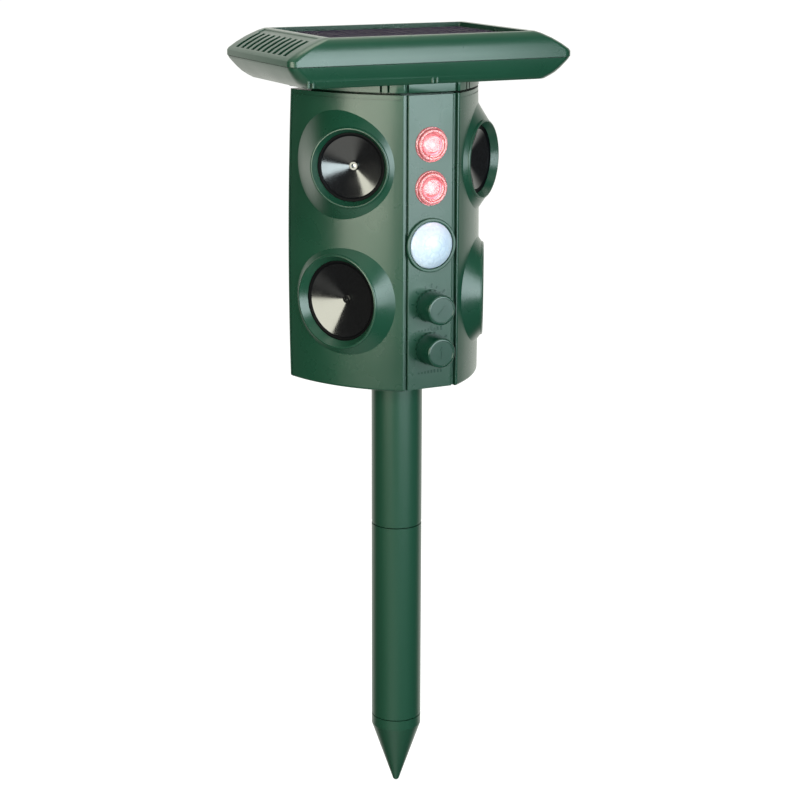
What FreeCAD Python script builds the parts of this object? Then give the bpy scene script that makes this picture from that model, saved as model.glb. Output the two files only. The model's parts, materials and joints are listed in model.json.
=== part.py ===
import FreeCAD, Part
import math
import os

# Solar ultrasonic pest repeller on a garden stake. Millimetres, +Z up.
# The origin is on the stake axis at the ground line, which is the joint between
# the upper and the lower stake tube. The front, with the knobs, faces -Y.
# The head is drawn about its own middle, and its pieces are moved forward from
# the stake axis by HEAD_FORWARD as they are saved.

Vector = FreeCAD.Vector

# ---- stake
STAKE_RADIUS = 14.0
STAKE_WALL = 2.0
STAKE_GROUND_Z = 0.0
STAKE_TIP_JOINT_Z = -115.4
STAKE_TIP_Z = -157.7
STAKE_TIP_BAND = 5.5
STAKE_TIP_NOSE = 1.8
STAKE_TIP_SPIGOT = 16.0
STAKE_RIB_LENGTH = 12.0
STAKE_JOINT_GROOVE = 0.6
PUSH_FIT = 0.05
SOCKET_DEPTH = 36.0
SOCKET_WALL = 2.4
SOCKET_RIB_REACH = 7.0
SOCKET_RIB_HEIGHT = 10.0

# ---- head body
HEAD_FORWARD = 4.0
FAR = 90.0
TALL_EDGE = 100.0
WALL = 2.2
BODY_BOTTOM_Z = 86.4
BODY_TOP_Z = 242.7
BODY_WIDE_Z = 138.0
BODY_HALF_WIDTH = 56.2
BODY_BARREL_RADIUS = 2200.0
FRONT_Y = -36.1
FRONT_HALF = 16.2
SIDE_END_Y = 23.7
SIDE_BULGE = 7.2
BACK_Y = 33.6
UPRIGHT_EDGE_ROUND = 1.4
BOTTOM_EDGE_ROUND = 1.2
PARTING_Y = 20.9
PARTING_GAP = 0.6
BASE_RECESS = 1.0
BASE_THICK = 2.6

# ---- control panel in the front strip
PANEL_FACE_Y = -35.5
PANEL_GROOVE_Y = -34.0
PANEL_BACK_Y = -31.6
PANEL_HALF = 13.3
PANEL_FOOT_HALF = 15.1
PANEL_CLEARANCE = 0.2
PANEL_EDGE_ROUND = 0.8
FRONT_WALL_BACK_Y = -29.3
LED_Z = (216.9, 194.2)
LED_RADIUS = 8.4
LED_FLANGE_RADIUS = 9.2
LED_FLANGE_THICK = 1.1
LED_STAND = 2.9
PIR_Z = 164.1
PIR_BEZEL_RADIUS = 14.3
PIR_BEZEL_STAND = 1.7
PIR_LENS_RADIUS = 12.7
PIR_DOME_RISE = 5.9
MODE_Z = 131.6
SENSITIVITY_Z = 108.6
KNOB_BASE_RADIUS = 8.8
KNOB_TOP_RADIUS = 8.0
KNOB_CROWN_ROUND = 1.2
KNOB_HEIGHT = 13.6
KNOB_GAP = 0.5
MODE_POINTER_ANGLE = 45.0
SENSITIVITY_POINTER_ANGLE = 0.0
SHAFT_RADIUS = 3.0

# ---- speakers: lip centre and facing angle, measured from the front towards each side
UPPER_SPEAKER = {
    "level": "upper", "x": 40.0, "y": -20.6, "z": 205.0, "angle": 39.5,
    "lip": 20.8, "throat": 18.1, "foot_height": 43.5,
}
LOWER_SPEAKER = {
    "level": "lower", "x": 44.2, "y": -12.8, "z": 133.3, "angle": 60.5,
    "lip": 25.1, "throat": 21.6, "foot_height": 41.0,
}
SIDES = (("left", -1), ("right", 1))
FOOT_X = 34.0
FOOT_Y = -6.0
FOOT_ANGLE = 56.0
FOOT_HALF_WIDTH = 33.1
LIP_ROUND = 1.1
LIP_ROUND_WIDTH = 1.0
POCKET_MARGIN = 2.6
POCKET_DEPTH = 26.0
THROAT_DEPTH = 3.8
THROAT_WALL = 1.0
FUNNEL_SET_BACK = 0.7
FUNNEL_DEPTH = 5.4
FUNNEL_HOLE_RADIUS = 1.15
FUNNEL_COLLAR_RADIUS = 2.1

# ---- solar head
# Each row: height, half length in X, half depth in Y, plan corner radius
SOLAR_CENTRE_Y = 3.0
SOLAR_SEAM_Z = 259.6
SOLAR_RIM_Z = 273.2
SOLAR_TOP_PROFILE = (
    (SOLAR_SEAM_Z, 81.2, 44.5, 5.0),
    (262.4, 81.2, 44.5, 5.0),
    (263.6, 80.3, 44.4, 5.0),
    (266.4, 76.0, 44.1, 4.8),
    (269.4, 70.4, 43.5, 4.4),
    (272.2, 63.9, 42.2, 3.8),
    (SOLAR_RIM_Z, 60.7, 41.0, 3.4),
)
SOLAR_FLOOR_Z = 248.2
SOLAR_BOTTOM_PROFILE = (
    (SOLAR_FLOOR_Z, 69.8, 39.8, 8.0),
    (249.6, 72.2, 40.8, 7.8),
    (251.4, 74.7, 41.9, 7.4),
    (253.8, 77.0, 42.9, 6.8),
    (256.4, 79.1, 43.6, 6.0),
    (258.4, 80.5, 44.1, 5.3),
    (SOLAR_SEAM_Z, 81.0, 44.3, 5.0),
)
SOLAR_WALL = 2.2
SOLAR_SEAM_GAP = 0.3
POCKET_HALF_X = 57.2
POCKET_HALF_Y = 38.4
POCKET_CORNER = 1.5
POCKET_FLOOR_Z = 269.1
TRAY_WALL = 2.0
LIP_WIDTH = 4.0
RESIN_TOP_Z = 271.7
BACKPLATE_THICK = 1.2
GASKET_THICK = 0.4
CELL_COUNT = 8
CELL_GAP = 0.6
CELL_THICK = 0.3
PANEL_FIT = 0.4
COLLAR_BOTTOM_Z = 244.0
COLLAR_PROUD = 0.3
COLLAR_WALL = 2.0
COLLAR_SEAT_INSET = 8.5
COLLAR_SPIGOT_INSET = 13.4
LATCH_X = 24.2
LATCH_HALF = 1.5
LATCH_SLOT = 0.9
VENT_COUNT = 10
VENT_PITCH = 7.0
VENT_WIDTH = 3.6
VENT_TOP_X = 65.4
VENT_BOTTOM_X = 79.0
VENT_FIELD_X = 61.8
VENT_FIELD_DEPTH = 0.5
COVER_SCREW_X = (-61.5, 0.0, 61.5)
COVER_SCREW_Y = (-32.0, 38.0)
COVER_POST_RADIUS = 3.0
COVER_RIB_X = (-69.0, 0.5)
COVER_RIB_Y = -38.2
COVER_RIB_RADIUS = 0.9
COVER_RIB_SPREAD = 1.25
COVER_RIB_Z = (249.0, 252.4)
COVER_SCREW_HEAD_RADIUS = 1.9
COVER_SCREW_RADIUS = 1.1
COVER_SCREW_SEAT_Z = 250.2

# ---- screws: X and height, or X and Y for the base plate
BODY_SCREW_SPOTS = ((-44.0, 98.0), (44.0, 98.0), (-42.0, 228.0), (42.0, 228.0))
CONTROL_BOARD_SCREWS = ((0.0, 206.0), (0.0, 118.9))
MAIN_BOARD_SCREWS = ((-28.0, 168.0), (28.0, 168.0), (-28.0, 232.0), (28.0, 232.0))
BASE_SCREW_SPOTS = ((-30.0, 4.0), (30.0, 4.0), (0.0, 25.2))
SCREW_SHANK_RADIUS = 1.4
SCREW_HEAD_RADIUS = 2.8
BOARD_SCREW_RADIUS = 1.3
BOARD_SCREW_LENGTH = 7.5
BOARD_SCREW_HEAD_RADIUS = 2.5
SEAT_GAP = 0.02
BODY_SCREW_SEAT = 2.9
BASE_POST_RADIUS = 3.2

# ---- circuit boards and leads
BOARD_THICK = 1.6
CONTROL_FRONT_Y = -29.0
CONTROL_BOARD_Y = -20.0
CONTROL_BOARD_HALF = 11.0
CONTROL_BOARD_Z = (98.0, 228.0)
MAIN_BOARD_Y = 7.6
MAIN_BOARD_HALF = 31.0
MAIN_BOARD_Z = (164.0, 236.0)
BOARD_HOLE_RADIUS = 1.6
LEAD_RADIUS = 1.0

# ---- battery and charging
BATTERY_RADIUS = 7.25
BATTERY_LENGTH = 50.5
BATTERY_PITCH = 15.4
BATTERY_Y = 20.6
BATTERY_MID_Z = 182.0
CONTACT_THICK = 0.5
DOOR_HALF_X = 28.0
DOOR_BOTTOM_Z = 144.0
DOOR_TOP_Z = 220.0
DOOR_THICK = 2.2
DOOR_GAP = 0.35
DOOR_SCREW_SEAT_Y = 32.2
PORT_Z = 133.0
PORT_HALF_X = 8.0
PORT_HALF_Z = 6.0
PORT_POCKET_DEPTH = 4.5
PORT_POCKET_WALL = 1.8


# ---- small helpers
def box(x_low, x_high, y_low, y_high, z_low, z_high):
    corner = Vector(x_low, y_low, z_low)
    return Part.makeBox(x_high - x_low, y_high - y_low, z_high - z_low, corner)


def upright_cylinder(radius, z_low, z_high, x=0.0, y=0.0):
    return Part.makeCylinder(radius, z_high - z_low, Vector(x, y, z_low))


def upright_tube(outer, inner, z_low, z_high, x=0.0, y=0.0):
    solid = upright_cylinder(outer, z_low, z_high, x, y)
    hole = upright_cylinder(inner, z_low - 1.0, z_high + 1.0, x, y)
    return solid.cut(hole)


def front_cylinder(radius, z, y_low, y_high, x=0.0):
    return Part.makeCylinder(radius, y_high - y_low, Vector(x, y_low, z), Vector(0, 1, 0))


def front_cone(front_radius, back_radius, z, y_low, y_high, x=0.0):
    return Part.makeCone(front_radius, back_radius, y_high - y_low, Vector(x, y_low, z), Vector(0, 1, 0))


def front_tube(outer, inner, z, y_low, y_high, x=0.0):
    solid = front_cylinder(outer, z, y_low, y_high, x)
    return solid.cut(front_cylinder(inner, z, y_low - 1.0, y_high + 1.0, x))


def revolved(points):
    """Solid of revolution about local Z from (radius, height) points."""
    corners = [Vector(radius, 0, height) for radius, height in points]
    outline = Part.makePolygon(corners + [corners[0]])
    return Part.Face(outline).revolve(Vector(0, 0, 0), Vector(0, 0, 1), 360)


def joined(shapes):
    result = shapes[0]
    if len(shapes) > 1:
        result = shapes[0].fuse(shapes[1:])
    return result.removeSplitter()


def group(shapes):
    return Part.makeCompound(shapes)


def save(shape, node):
    shape.exportStep("parts/" + node + ".step")


def save_head(shape, node):
    """Save a piece of the head, moved forward from the stake axis."""
    save(shape.translated(Vector(0, -HEAD_FORWARD, 0)), node)


# ---- head body: plan outline and loft
def body_half_width(z):
    return BODY_HALF_WIDTH - (z - BODY_WIDE_Z) ** 2 / (2.0 * BODY_BARREL_RADIUS)


def side_arc(side, half_width, z):
    """Convex side outline from the front corner to the rear corner."""
    front = Vector(side * FRONT_HALF, FRONT_Y, z)
    rear = Vector(side * half_width, SIDE_END_Y, z)
    chord = rear - front
    outward = Vector(side * chord.y, -side * chord.x, 0).normalize()
    middle = (front + rear) * 0.5 + outward * SIDE_BULGE
    return Part.Arc(front, middle, rear).toShape()


def body_outline(z, inset):
    half_width = body_half_width(z)
    front = Part.makeLine(Vector(-FRONT_HALF, FRONT_Y, z), Vector(FRONT_HALF, FRONT_Y, z))
    right = side_arc(1, half_width, z)
    left = side_arc(-1, half_width, z)
    rear_right = Vector(half_width, SIDE_END_Y, z)
    rear_left = Vector(-half_width, SIDE_END_Y, z)
    back = Part.Arc(rear_right, Vector(0, BACK_Y, z), rear_left).toShape()
    outline = Part.Wire(Part.__sortEdges__([front, right, back, left]))
    if inset:
        outline = outline.makeOffset2D(-inset)
    return outline


def body_loft(inset, z_low, z_high):
    steps = 4
    outlines = []
    for step in range(steps + 1):
        z = z_low + (z_high - z_low) * step / steps
        outlines.append(body_outline(z, inset))
    return Part.makeLoft(outlines, True, False)


def body_plate(inset, z_low, z_high):
    """Flat plate with the plan outline of the body at its lower face."""
    return Part.Face(body_outline(z_low, inset)).extrude(Vector(0, 0, z_high - z_low))


def rounded_body():
    solid = body_loft(0.0, BODY_BOTTOM_Z, BODY_TOP_Z)
    for side in (1, -1):
        upright = [edge for edge in solid.Edges
                   if edge.BoundBox.ZLength > TALL_EDGE and side * edge.CenterOfMass.y > 0.0]
        solid = solid.makeFillet(UPRIGHT_EDGE_ROUND, upright)
    bottom = [edge for edge in solid.Edges if edge.BoundBox.ZMax < BODY_BOTTOM_Z + 0.01]
    return solid.makeFillet(BOTTOM_EDGE_ROUND, bottom)


# ---- speakers
def speaker_placement(speaker, side):
    angle = math.radians(speaker["angle"])
    outward = Vector(side * math.sin(angle), -math.cos(angle), 0)
    up = Vector(0, 0, 1)
    rotation = FreeCAD.Rotation(up, outward.cross(up), outward, "ZXY")
    return FreeCAD.Placement(Vector(side * speaker["x"], speaker["y"], speaker["z"]), rotation)


def foot_placement(speaker, side):
    angle = math.radians(FOOT_ANGLE)
    outward = Vector(side * math.sin(angle), -math.cos(angle), 0)
    up = Vector(0, 0, 1)
    rotation = FreeCAD.Rotation(up, outward.cross(up), outward, "ZXY")
    return FreeCAD.Placement(Vector(side * FOOT_X, FOOT_Y, speaker["z"]), rotation)


def speaker_boss(speaker, side):
    """Flared boss: a ruled skin from the round lip down to an oval foot inside the body."""
    outer = speaker["lip"] + LIP_ROUND_WIDTH / 2.0
    rim = Part.Circle(Vector(0, 0, -LIP_ROUND), Vector(0, 0, 1), outer)
    lip = Part.Wire(rim.toShape())
    lip.Placement = speaker_placement(speaker, side)
    ellipse = Part.Ellipse(Vector(0, 0, 0), speaker["foot_height"], FOOT_HALF_WIDTH)
    foot = Part.Wire(ellipse.toShape())
    foot.Placement = foot_placement(speaker, side)
    boss = Part.makeLoft([foot, lip], True, True)
    limit = box(-FAR, FAR, -FAR, PARTING_Y, BODY_BOTTOM_Z + 4.0, BODY_TOP_Z - 1.5)
    return boss.common(limit).fuse(speaker_crown(speaker, side))


def speaker_crown(speaker, side):
    """Disc with a rounded rim that closes the boss; the opening is cut through it."""
    outer = speaker["lip"] + LIP_ROUND_WIDTH / 2.0
    inner = speaker["lip"] - LIP_ROUND_WIDTH / 2.0
    turn = math.sqrt(0.5)
    start = Vector(outer, 0, -LIP_ROUND)
    middle = Vector(inner + turn * LIP_ROUND_WIDTH, 0, -LIP_ROUND * (1.0 - turn))
    end = Vector(inner, 0, 0)
    axis_top = Vector(0, 0, 0)
    axis_bottom = Vector(0, 0, -LIP_ROUND)
    edges = [
        Part.Arc(start, middle, end).toShape(), Part.makeLine(end, axis_top),
        Part.makeLine(axis_top, axis_bottom), Part.makeLine(axis_bottom, start),
    ]
    crown = Part.Face(Part.Wire(edges)).revolve(Vector(0, 0, 0), Vector(0, 0, 1), 360)
    crown.Placement = speaker_placement(speaker, side)
    return crown


def speaker_opening(speaker, side):
    """Tapered mouth, short throat, and the pocket that the speaker is fitted into from behind."""
    mouth = speaker["lip"] - LIP_ROUND_WIDTH / 2.0 - 0.2
    throat = speaker["throat"]
    pocket = throat + POCKET_MARGIN
    ledge = -THROAT_DEPTH - THROAT_WALL
    opening = revolved([
        (0, 1.0), (mouth, 1.0), (mouth, -0.1), (throat, -THROAT_DEPTH),
        (throat, ledge), (pocket, ledge), (pocket, -POCKET_DEPTH), (0, -POCKET_DEPTH),
    ])
    opening.Placement = speaker_placement(speaker, side)
    return opening


def speaker_ring(speaker, side):
    """Black ring that shows as a thin line inside the throat and clamps the funnel behind it."""
    throat = speaker["throat"]
    ledge = -THROAT_DEPTH - THROAT_WALL
    ring = revolved([
        (throat - 0.85, -THROAT_DEPTH - 0.1), (throat - 0.2, -THROAT_DEPTH - 0.1),
        (throat - 0.2, ledge - 0.15), (throat + 2.4, ledge - 0.15),
        (throat + 2.4, ledge - 5.0), (throat - 0.85, ledge - 5.0),
    ])
    ring.Placement = speaker_placement(speaker, side)
    return ring


def speaker_cone(speaker, side):
    """Shallow glossy funnel with a small collar round the hole at its centre."""
    mouth = speaker["throat"] - 0.95
    front = -THROAT_DEPTH - FUNNEL_SET_BACK
    apex = front - FUNNEL_DEPTH
    hole = FUNNEL_HOLE_RADIUS
    collar = FUNNEL_COLLAR_RADIUS
    cone = revolved([
        (mouth, front), (mouth, front - 1.4), (collar + 1.6, apex - 1.2), (hole, apex - 1.2),
        (hole, apex + 1.0), (collar, apex + 1.0), (collar, apex), (mouth - 0.8, front),
    ])
    cone.Placement = speaker_placement(speaker, side)
    return cone


def piezo_driver(speaker, side):
    """Round transducer can behind the funnel, stepped where it meets the ring."""
    front = -THROAT_DEPTH - FUNNEL_SET_BACK - FUNNEL_DEPTH - 1.4
    driver = revolved([
        (0, front), (9.0, front), (9.0, front - 1.2), (12.5, front - 1.2), (12.5, front - 6.5),
        (4.0, front - 6.5), (4.0, front - 8.0), (0, front - 8.0),
    ])
    driver.Placement = speaker_placement(speaker, side)
    return driver


# ---- front housing, rear cover, control panel
def panel_channel():
    """Upright channel in the front that holds the control panel."""
    half = PANEL_FOOT_HALF + PANEL_CLEARANCE
    back = PANEL_BACK_Y + 0.1
    return box(-half, half, FRONT_Y - 5.0, back, BODY_BOTTOM_Z - 1.0, BODY_TOP_Z + 1.0)


def body_cavity():
    cavity = body_loft(WALL, BODY_BOTTOM_Z - 3.0, BODY_TOP_Z - WALL)
    half = PANEL_FOOT_HALF + PANEL_CLEARANCE + WALL
    backing = box(-half, half, FRONT_Y - 2.0, FRONT_WALL_BACK_Y, BODY_BOTTOM_Z - 4.0, BODY_TOP_Z)
    return cavity.cut(backing)


def panel_holes(extra):
    """Holes for the two LED windows, the motion sensor and the two shafts."""
    depth = (FRONT_Y - 4.0, FRONT_WALL_BACK_Y + 1.0)
    holes = [front_cylinder(LED_RADIUS - 1.4 + extra, z, *depth) for z in LED_Z]
    holes.append(front_cylinder(PIR_LENS_RADIUS - 1.2 + extra, PIR_Z, *depth))
    for z in (MODE_Z, SENSITIVITY_Z):
        holes.append(front_cylinder(SHAFT_RADIUS + 0.6 + extra, z, *depth))
    return holes


def screw_post(x, z):
    post = front_cylinder(3.6, z, 4.0, PARTING_Y, x)
    return post.cut(front_cylinder(SCREW_SHANK_RADIUS + 0.1, z, 8.0, PARTING_Y + 1.0, x))


def head_shell():
    solid = rounded_body()
    bosses = []
    for speaker in (UPPER_SPEAKER, LOWER_SPEAKER):
        for _, side in SIDES:
            bosses.append(speaker_boss(speaker, side))
    solid = solid.fuse(bosses)
    return solid.cut(body_cavity())


def front_housing(shell):
    front = shell.common(box(-FAR, FAR, -FAR, PARTING_Y, BODY_BOTTOM_Z - 1, BODY_TOP_Z + 1))
    top_hole = body_plate(COLLAR_SPIGOT_INSET - 0.4, BODY_TOP_Z - 4.0, BODY_TOP_Z + 1.0)
    cutters = [panel_channel(), top_hole] + panel_holes(0.8)
    for speaker in (UPPER_SPEAKER, LOWER_SPEAKER):
        for _, side in SIDES:
            cutters.append(speaker_opening(speaker, side))
    posts = []
    for x, z in BODY_SCREW_SPOTS:
        posts.append(screw_post(x, z))
        side = 1 if x > 0 else -1
        web = box(min(x, side * 53.0), max(x, side * 53.0), 10.0, PARTING_Y - 2.0, z - 1.2, z + 1.2)
        web = web.common(body_loft(1.0, BODY_BOTTOM_Z, BODY_TOP_Z))
        posts.append(web.cut(front_cylinder(3.0, z, 0.0, 30.0, x)))
    reach = body_loft(1.0, BODY_BOTTOM_Z, BODY_TOP_Z)
    for x, z in MAIN_BOARD_SCREWS:
        post = front_cylinder(3.0, z, FRONT_Y, MAIN_BOARD_Y - SEAT_GAP, x).common(reach)
        posts.append(post.cut(front_cylinder(BOARD_SCREW_RADIUS + 0.1, z, -4.0, MAIN_BOARD_Y + 1.0, x)))
    for side in (-1, 1):
        posts.append(base_screw_post(side * abs(BASE_SCREW_SPOTS[0][0]), BASE_SCREW_SPOTS[0][1], side))
    cutters.append(top_edge_groove())
    return front.cut(cutters).fuse(posts).removeSplitter()


def base_screw_post(x, y, side):
    """Boss for a screw of the base plate, on a web to the wall; side 0 reaches to the back."""
    low = BODY_BOTTOM_Z + BASE_RECESS + BASE_THICK + SEAT_GAP
    high = low + 9.0
    if side:
        web = box(min(x, side * 60.0), max(x, side * 60.0), y - 1.0, y + 1.0, low, high)
    else:
        web = box(x - 1.0, x + 1.0, y, BACK_Y, low, high)
    post = upright_cylinder(BASE_POST_RADIUS, low, high, x, y)
    post = post.fuse(web.common(body_loft(1.0, BODY_BOTTOM_Z, BODY_TOP_Z)))
    return post.cut(upright_cylinder(SCREW_SHANK_RADIUS + 0.1, low - 1.0, high - 1.0, x, y))


def top_edge_groove():
    """Fine groove just under the top edge of both side faces."""
    low = BODY_TOP_Z - 2.4
    high = BODY_TOP_Z - 1.9
    skin = body_plate(-1.0, low, high).cut(body_plate(0.4, low - 1.0, high + 1.0))
    return skin.cut(box(-FRONT_HALF - 1.5, FRONT_HALF + 1.5, -FAR, 0, low - 2.0, high + 2.0))


def rear_cover(shell):
    """Shallow back shell with the battery opening, its ledge and the charging recess."""
    low = PARTING_Y + PARTING_GAP
    back = shell.common(box(-FAR, FAR, low, FAR, BODY_BOTTOM_Z - 1, BODY_TOP_Z + 1))
    opening = box(-DOOR_HALF_X, DOOR_HALF_X, low - 1, FAR, DOOR_BOTTOM_Z, DOOR_TOP_Z)
    back = back.cut(opening)
    skin = body_loft(DOOR_THICK + 0.2, BODY_BOTTOM_Z, BODY_TOP_Z)
    skin = skin.cut(body_loft(DOOR_THICK + 1.8, BODY_BOTTOM_Z, BODY_TOP_Z))
    frame = box(-DOOR_HALF_X - 2, DOOR_HALF_X + 2, low, FAR, DOOR_BOTTOM_Z - 2, DOOR_TOP_Z + 2)
    inner = box(-DOOR_HALF_X + 3, DOOR_HALF_X - 3, low - 1, FAR, DOOR_BOTTOM_Z + 8, DOOR_TOP_Z - 8)
    ledge = skin.common(frame.cut(inner))
    rim_skin = body_loft(WALL - 0.4, BODY_BOTTOM_Z, BODY_TOP_Z)
    rim_skin = rim_skin.cut(body_loft(DOOR_THICK + 1.0, BODY_BOTTOM_Z, BODY_TOP_Z))
    rim = rim_skin.common(frame).cut(opening)
    back = back.fuse([ledge, rim])
    pocket_back = BACK_Y - PORT_POCKET_DEPTH
    pocket = box(-PORT_HALF_X - 2, PORT_HALF_X + 2, pocket_back - PORT_POCKET_WALL, FAR,
                 PORT_Z - PORT_HALF_Z - 2, PORT_Z + PORT_HALF_Z + 2)
    back = back.fuse(pocket.common(body_loft(0.2, BODY_BOTTOM_Z, BODY_TOP_Z)))
    cutters = [box(-PORT_HALF_X, PORT_HALF_X, pocket_back, FAR, PORT_Z - PORT_HALF_Z, PORT_Z + PORT_HALF_Z)]
    cutters.append(box(-4.9, 4.9, pocket_back - 3, pocket_back + 1, PORT_Z - 2.3, PORT_Z + 2.3))
    for x, z in BODY_SCREW_SPOTS:
        cutters.append(front_cylinder(SCREW_SHANK_RADIUS + 0.3, z, low - 1, FAR, x))
        cutters.append(front_cylinder(SCREW_HEAD_RADIUS + 0.3, z, low + BODY_SCREW_SEAT, FAR, x))
    for z in (DOOR_BOTTOM_Z + 4.0, DOOR_TOP_Z - 4.0):
        cutters.append(front_cylinder(SCREW_SHANK_RADIUS + 0.3, z, low - 1, FAR))
    back = back.cut(cutters).fuse(base_screw_post(*BASE_SCREW_SPOTS[2], 0))
    return back.removeSplitter()


def control_panel():
    low = BODY_BOTTOM_Z + 0.3
    high = BODY_TOP_Z - 0.2
    foot = box(-PANEL_FOOT_HALF, PANEL_FOOT_HALF, PANEL_GROOVE_Y, PANEL_BACK_Y, low, high)
    strip = box(-PANEL_HALF, PANEL_HALF, PANEL_FACE_Y, PANEL_BACK_Y, low, high)
    edges = [edge for edge in strip.Edges
             if edge.BoundBox.ZLength > TALL_EDGE and edge.CenterOfMass.y < PANEL_GROOVE_Y]
    strip = strip.makeFillet(PANEL_EDGE_ROUND, edges)
    return foot.fuse(strip).cut(panel_holes(0.0)).removeSplitter()


# ---- front strip: windows, sensor, knobs
def led_lens(z):
    """Clear stepped window: a base flange, a tapered body and a hollow back."""
    front = PANEL_FACE_Y - LED_STAND
    step = PANEL_FACE_Y - LED_FLANGE_THICK
    flange = front_cylinder(LED_FLANGE_RADIUS, z, step, PANEL_FACE_Y - 0.05)
    body = front_cone(LED_RADIUS - 0.3, LED_RADIUS, z, front + 0.6, step)
    chamfer = front_cone(LED_RADIUS - 0.9, LED_RADIUS - 0.3, z, front, front + 0.6)
    spigot = front_cylinder(LED_RADIUS - 1.7, z, PANEL_FACE_Y - 0.1, PANEL_BACK_Y)
    hollow = front_cylinder(LED_RADIUS - 3.0, z, front + 1.6, PANEL_BACK_Y + 1.0)
    return flange.fuse([body, chamfer, spigot]).cut(hollow).removeSplitter()


def led_reflector(z):
    """Small bright cup around the emitter, on the control board side."""
    outer = front_cylinder(LED_RADIUS - 3.3, z, PANEL_FACE_Y - 1.0, PANEL_BACK_Y + 0.4)
    cup = front_cone(LED_RADIUS - 3.9, 2.9, z, PANEL_FACE_Y - 1.1, PANEL_BACK_Y + 0.5)
    return outer.cut(cup)


def led_emitters():
    """Two five-millimetre lamps with their leads running back to the control board."""
    lamps = []
    for z in LED_Z:
        base = front_cylinder(2.7, z, PANEL_BACK_Y - 0.9, PANEL_BACK_Y + 0.3)
        barrel = front_cylinder(2.4, z, PANEL_BACK_Y - 2.6, PANEL_BACK_Y - 0.9)
        nose = Part.makeSphere(2.4, Vector(0, PANEL_BACK_Y - 2.6, z))
        shapes = [base, barrel, nose]
        for x in (-1.27, 1.27):
            shapes.append(front_cylinder(0.3, z, PANEL_BACK_Y, CONTROL_BOARD_Y, x))
        lamps.append(joined(shapes))
    return group(lamps)


def pir_bezel():
    """Ring that stands proud of the strip and holds the sensor window."""
    front = PANEL_FACE_Y - PIR_BEZEL_STAND
    ring = front_tube(PIR_BEZEL_RADIUS, PIR_LENS_RADIUS - 0.2, PIR_Z, front, PANEL_FACE_Y - 0.05)
    edges = [edge for edge in ring.Edges if edge.CenterOfMass.y < front + 0.1]
    return ring.makeFillet(0.5, edges)


def pir_lens():
    """Thin domed window, a shell with a short rim inside the bezel."""
    radius = PIR_LENS_RADIUS - 0.25
    sphere_radius = (radius ** 2 + PIR_DOME_RISE ** 2) / (2.0 * PIR_DOME_RISE)
    foot = PANEL_FACE_Y - 1.0
    crown = foot - PIR_DOME_RISE
    centre = Vector(0, crown + sphere_radius, PIR_Z)
    dome = Part.makeSphere(sphere_radius, centre).common(front_cylinder(radius, PIR_Z, crown - 1.0, foot))
    dome = dome.cut(Part.makeSphere(sphere_radius - 1.0, centre))
    rim = front_tube(radius, radius - 1.0, PIR_Z, foot, PANEL_FACE_Y - 0.05)
    skirt = front_tube(PIR_LENS_RADIUS - 1.4, PIR_LENS_RADIUS - 2.4, PIR_Z, PANEL_FACE_Y - 0.9, PANEL_BACK_Y)
    web = front_tube(radius, PIR_LENS_RADIUS - 2.4, PIR_Z, PANEL_FACE_Y - 0.9, PANEL_FACE_Y - 0.05)
    return dome.fuse([web, skirt, rim]).removeSplitter()


def pir_sensor():
    """Metal can with a square window, on three leads to the control board."""
    flange = front_cylinder(4.6, PIR_Z, PANEL_BACK_Y + 0.6, PANEL_BACK_Y + 1.2)
    can = front_cylinder(4.1, PIR_Z, PANEL_BACK_Y - 2.8, PANEL_BACK_Y + 0.6)
    window = box(-2.0, 2.0, PANEL_BACK_Y - 3.4, PANEL_BACK_Y - 2.5, PIR_Z - 1.5, PIR_Z + 1.5)
    leads = []
    for x, z in ((-1.8, -1.8), (1.8, -1.8), (0.0, 2.5)):
        leads.append(front_cylinder(0.25, PIR_Z + z, PANEL_BACK_Y + 1.0, CONTROL_BOARD_Y, x))
    return joined([flange, can] + leads).cut(window)


def knob(z, pointer_angle):
    """Tapered knob with a skirt, a rounded crown, a raised pointer and a blind shaft hole."""
    back = PANEL_FACE_Y - KNOB_GAP
    front = back - KNOB_HEIGHT
    skirt = front_cylinder(KNOB_BASE_RADIUS, z, back - 1.6, back)
    grip = front_cone(KNOB_TOP_RADIUS, KNOB_BASE_RADIUS - 0.4, z, front, back - 1.5)
    solid = skirt.fuse(grip).removeSplitter()
    crown = [edge for edge in solid.Edges if edge.CenterOfMass.y < front + 0.01]
    solid = solid.makeFillet(KNOB_CROWN_ROUND, crown)
    pointer = box(-0.45, 0.45, front - 0.35, front + 0.4, z + 0.6, z + KNOB_TOP_RADIUS - 1.6)
    pointer.rotate(Vector(0, 0, z), Vector(0, 1, 0), pointer_angle)
    hole = front_cylinder(SHAFT_RADIUS + SEAT_GAP, z, back - 9.0, back + 1.0)
    return solid.fuse(pointer).cut(hole).removeSplitter()


def control_shaft(z):
    """Round shaft from inside the knob back into its control, with a turned-down rear end."""
    back = PANEL_FACE_Y - KNOB_GAP
    stem = front_cylinder(SHAFT_RADIUS, z, back - 8.8, CONTROL_FRONT_Y - 0.3)
    tail = front_cylinder(1.8, z, CONTROL_FRONT_Y - 0.4, CONTROL_FRONT_Y + 5.0)
    return stem.fuse(tail).removeSplitter()


def rotary_control(z, radius):
    """Round control body with a threaded bush, a tail bore and three tags."""
    body = front_cylinder(radius, z, CONTROL_FRONT_Y, CONTROL_BOARD_Y - 0.1)
    tags = []
    edge = z - radius
    for x in (-3.0, 0.0, 3.0):
        tags.append(box(x - 0.5, x + 0.5, CONTROL_BOARD_Y - 1.5, CONTROL_BOARD_Y, edge - 1.6, edge + 1.0))
    bore = front_cylinder(1.85, z, CONTROL_FRONT_Y - 1.0, CONTROL_FRONT_Y + 5.4)
    return joined([body] + tags).cut(bore)


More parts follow.
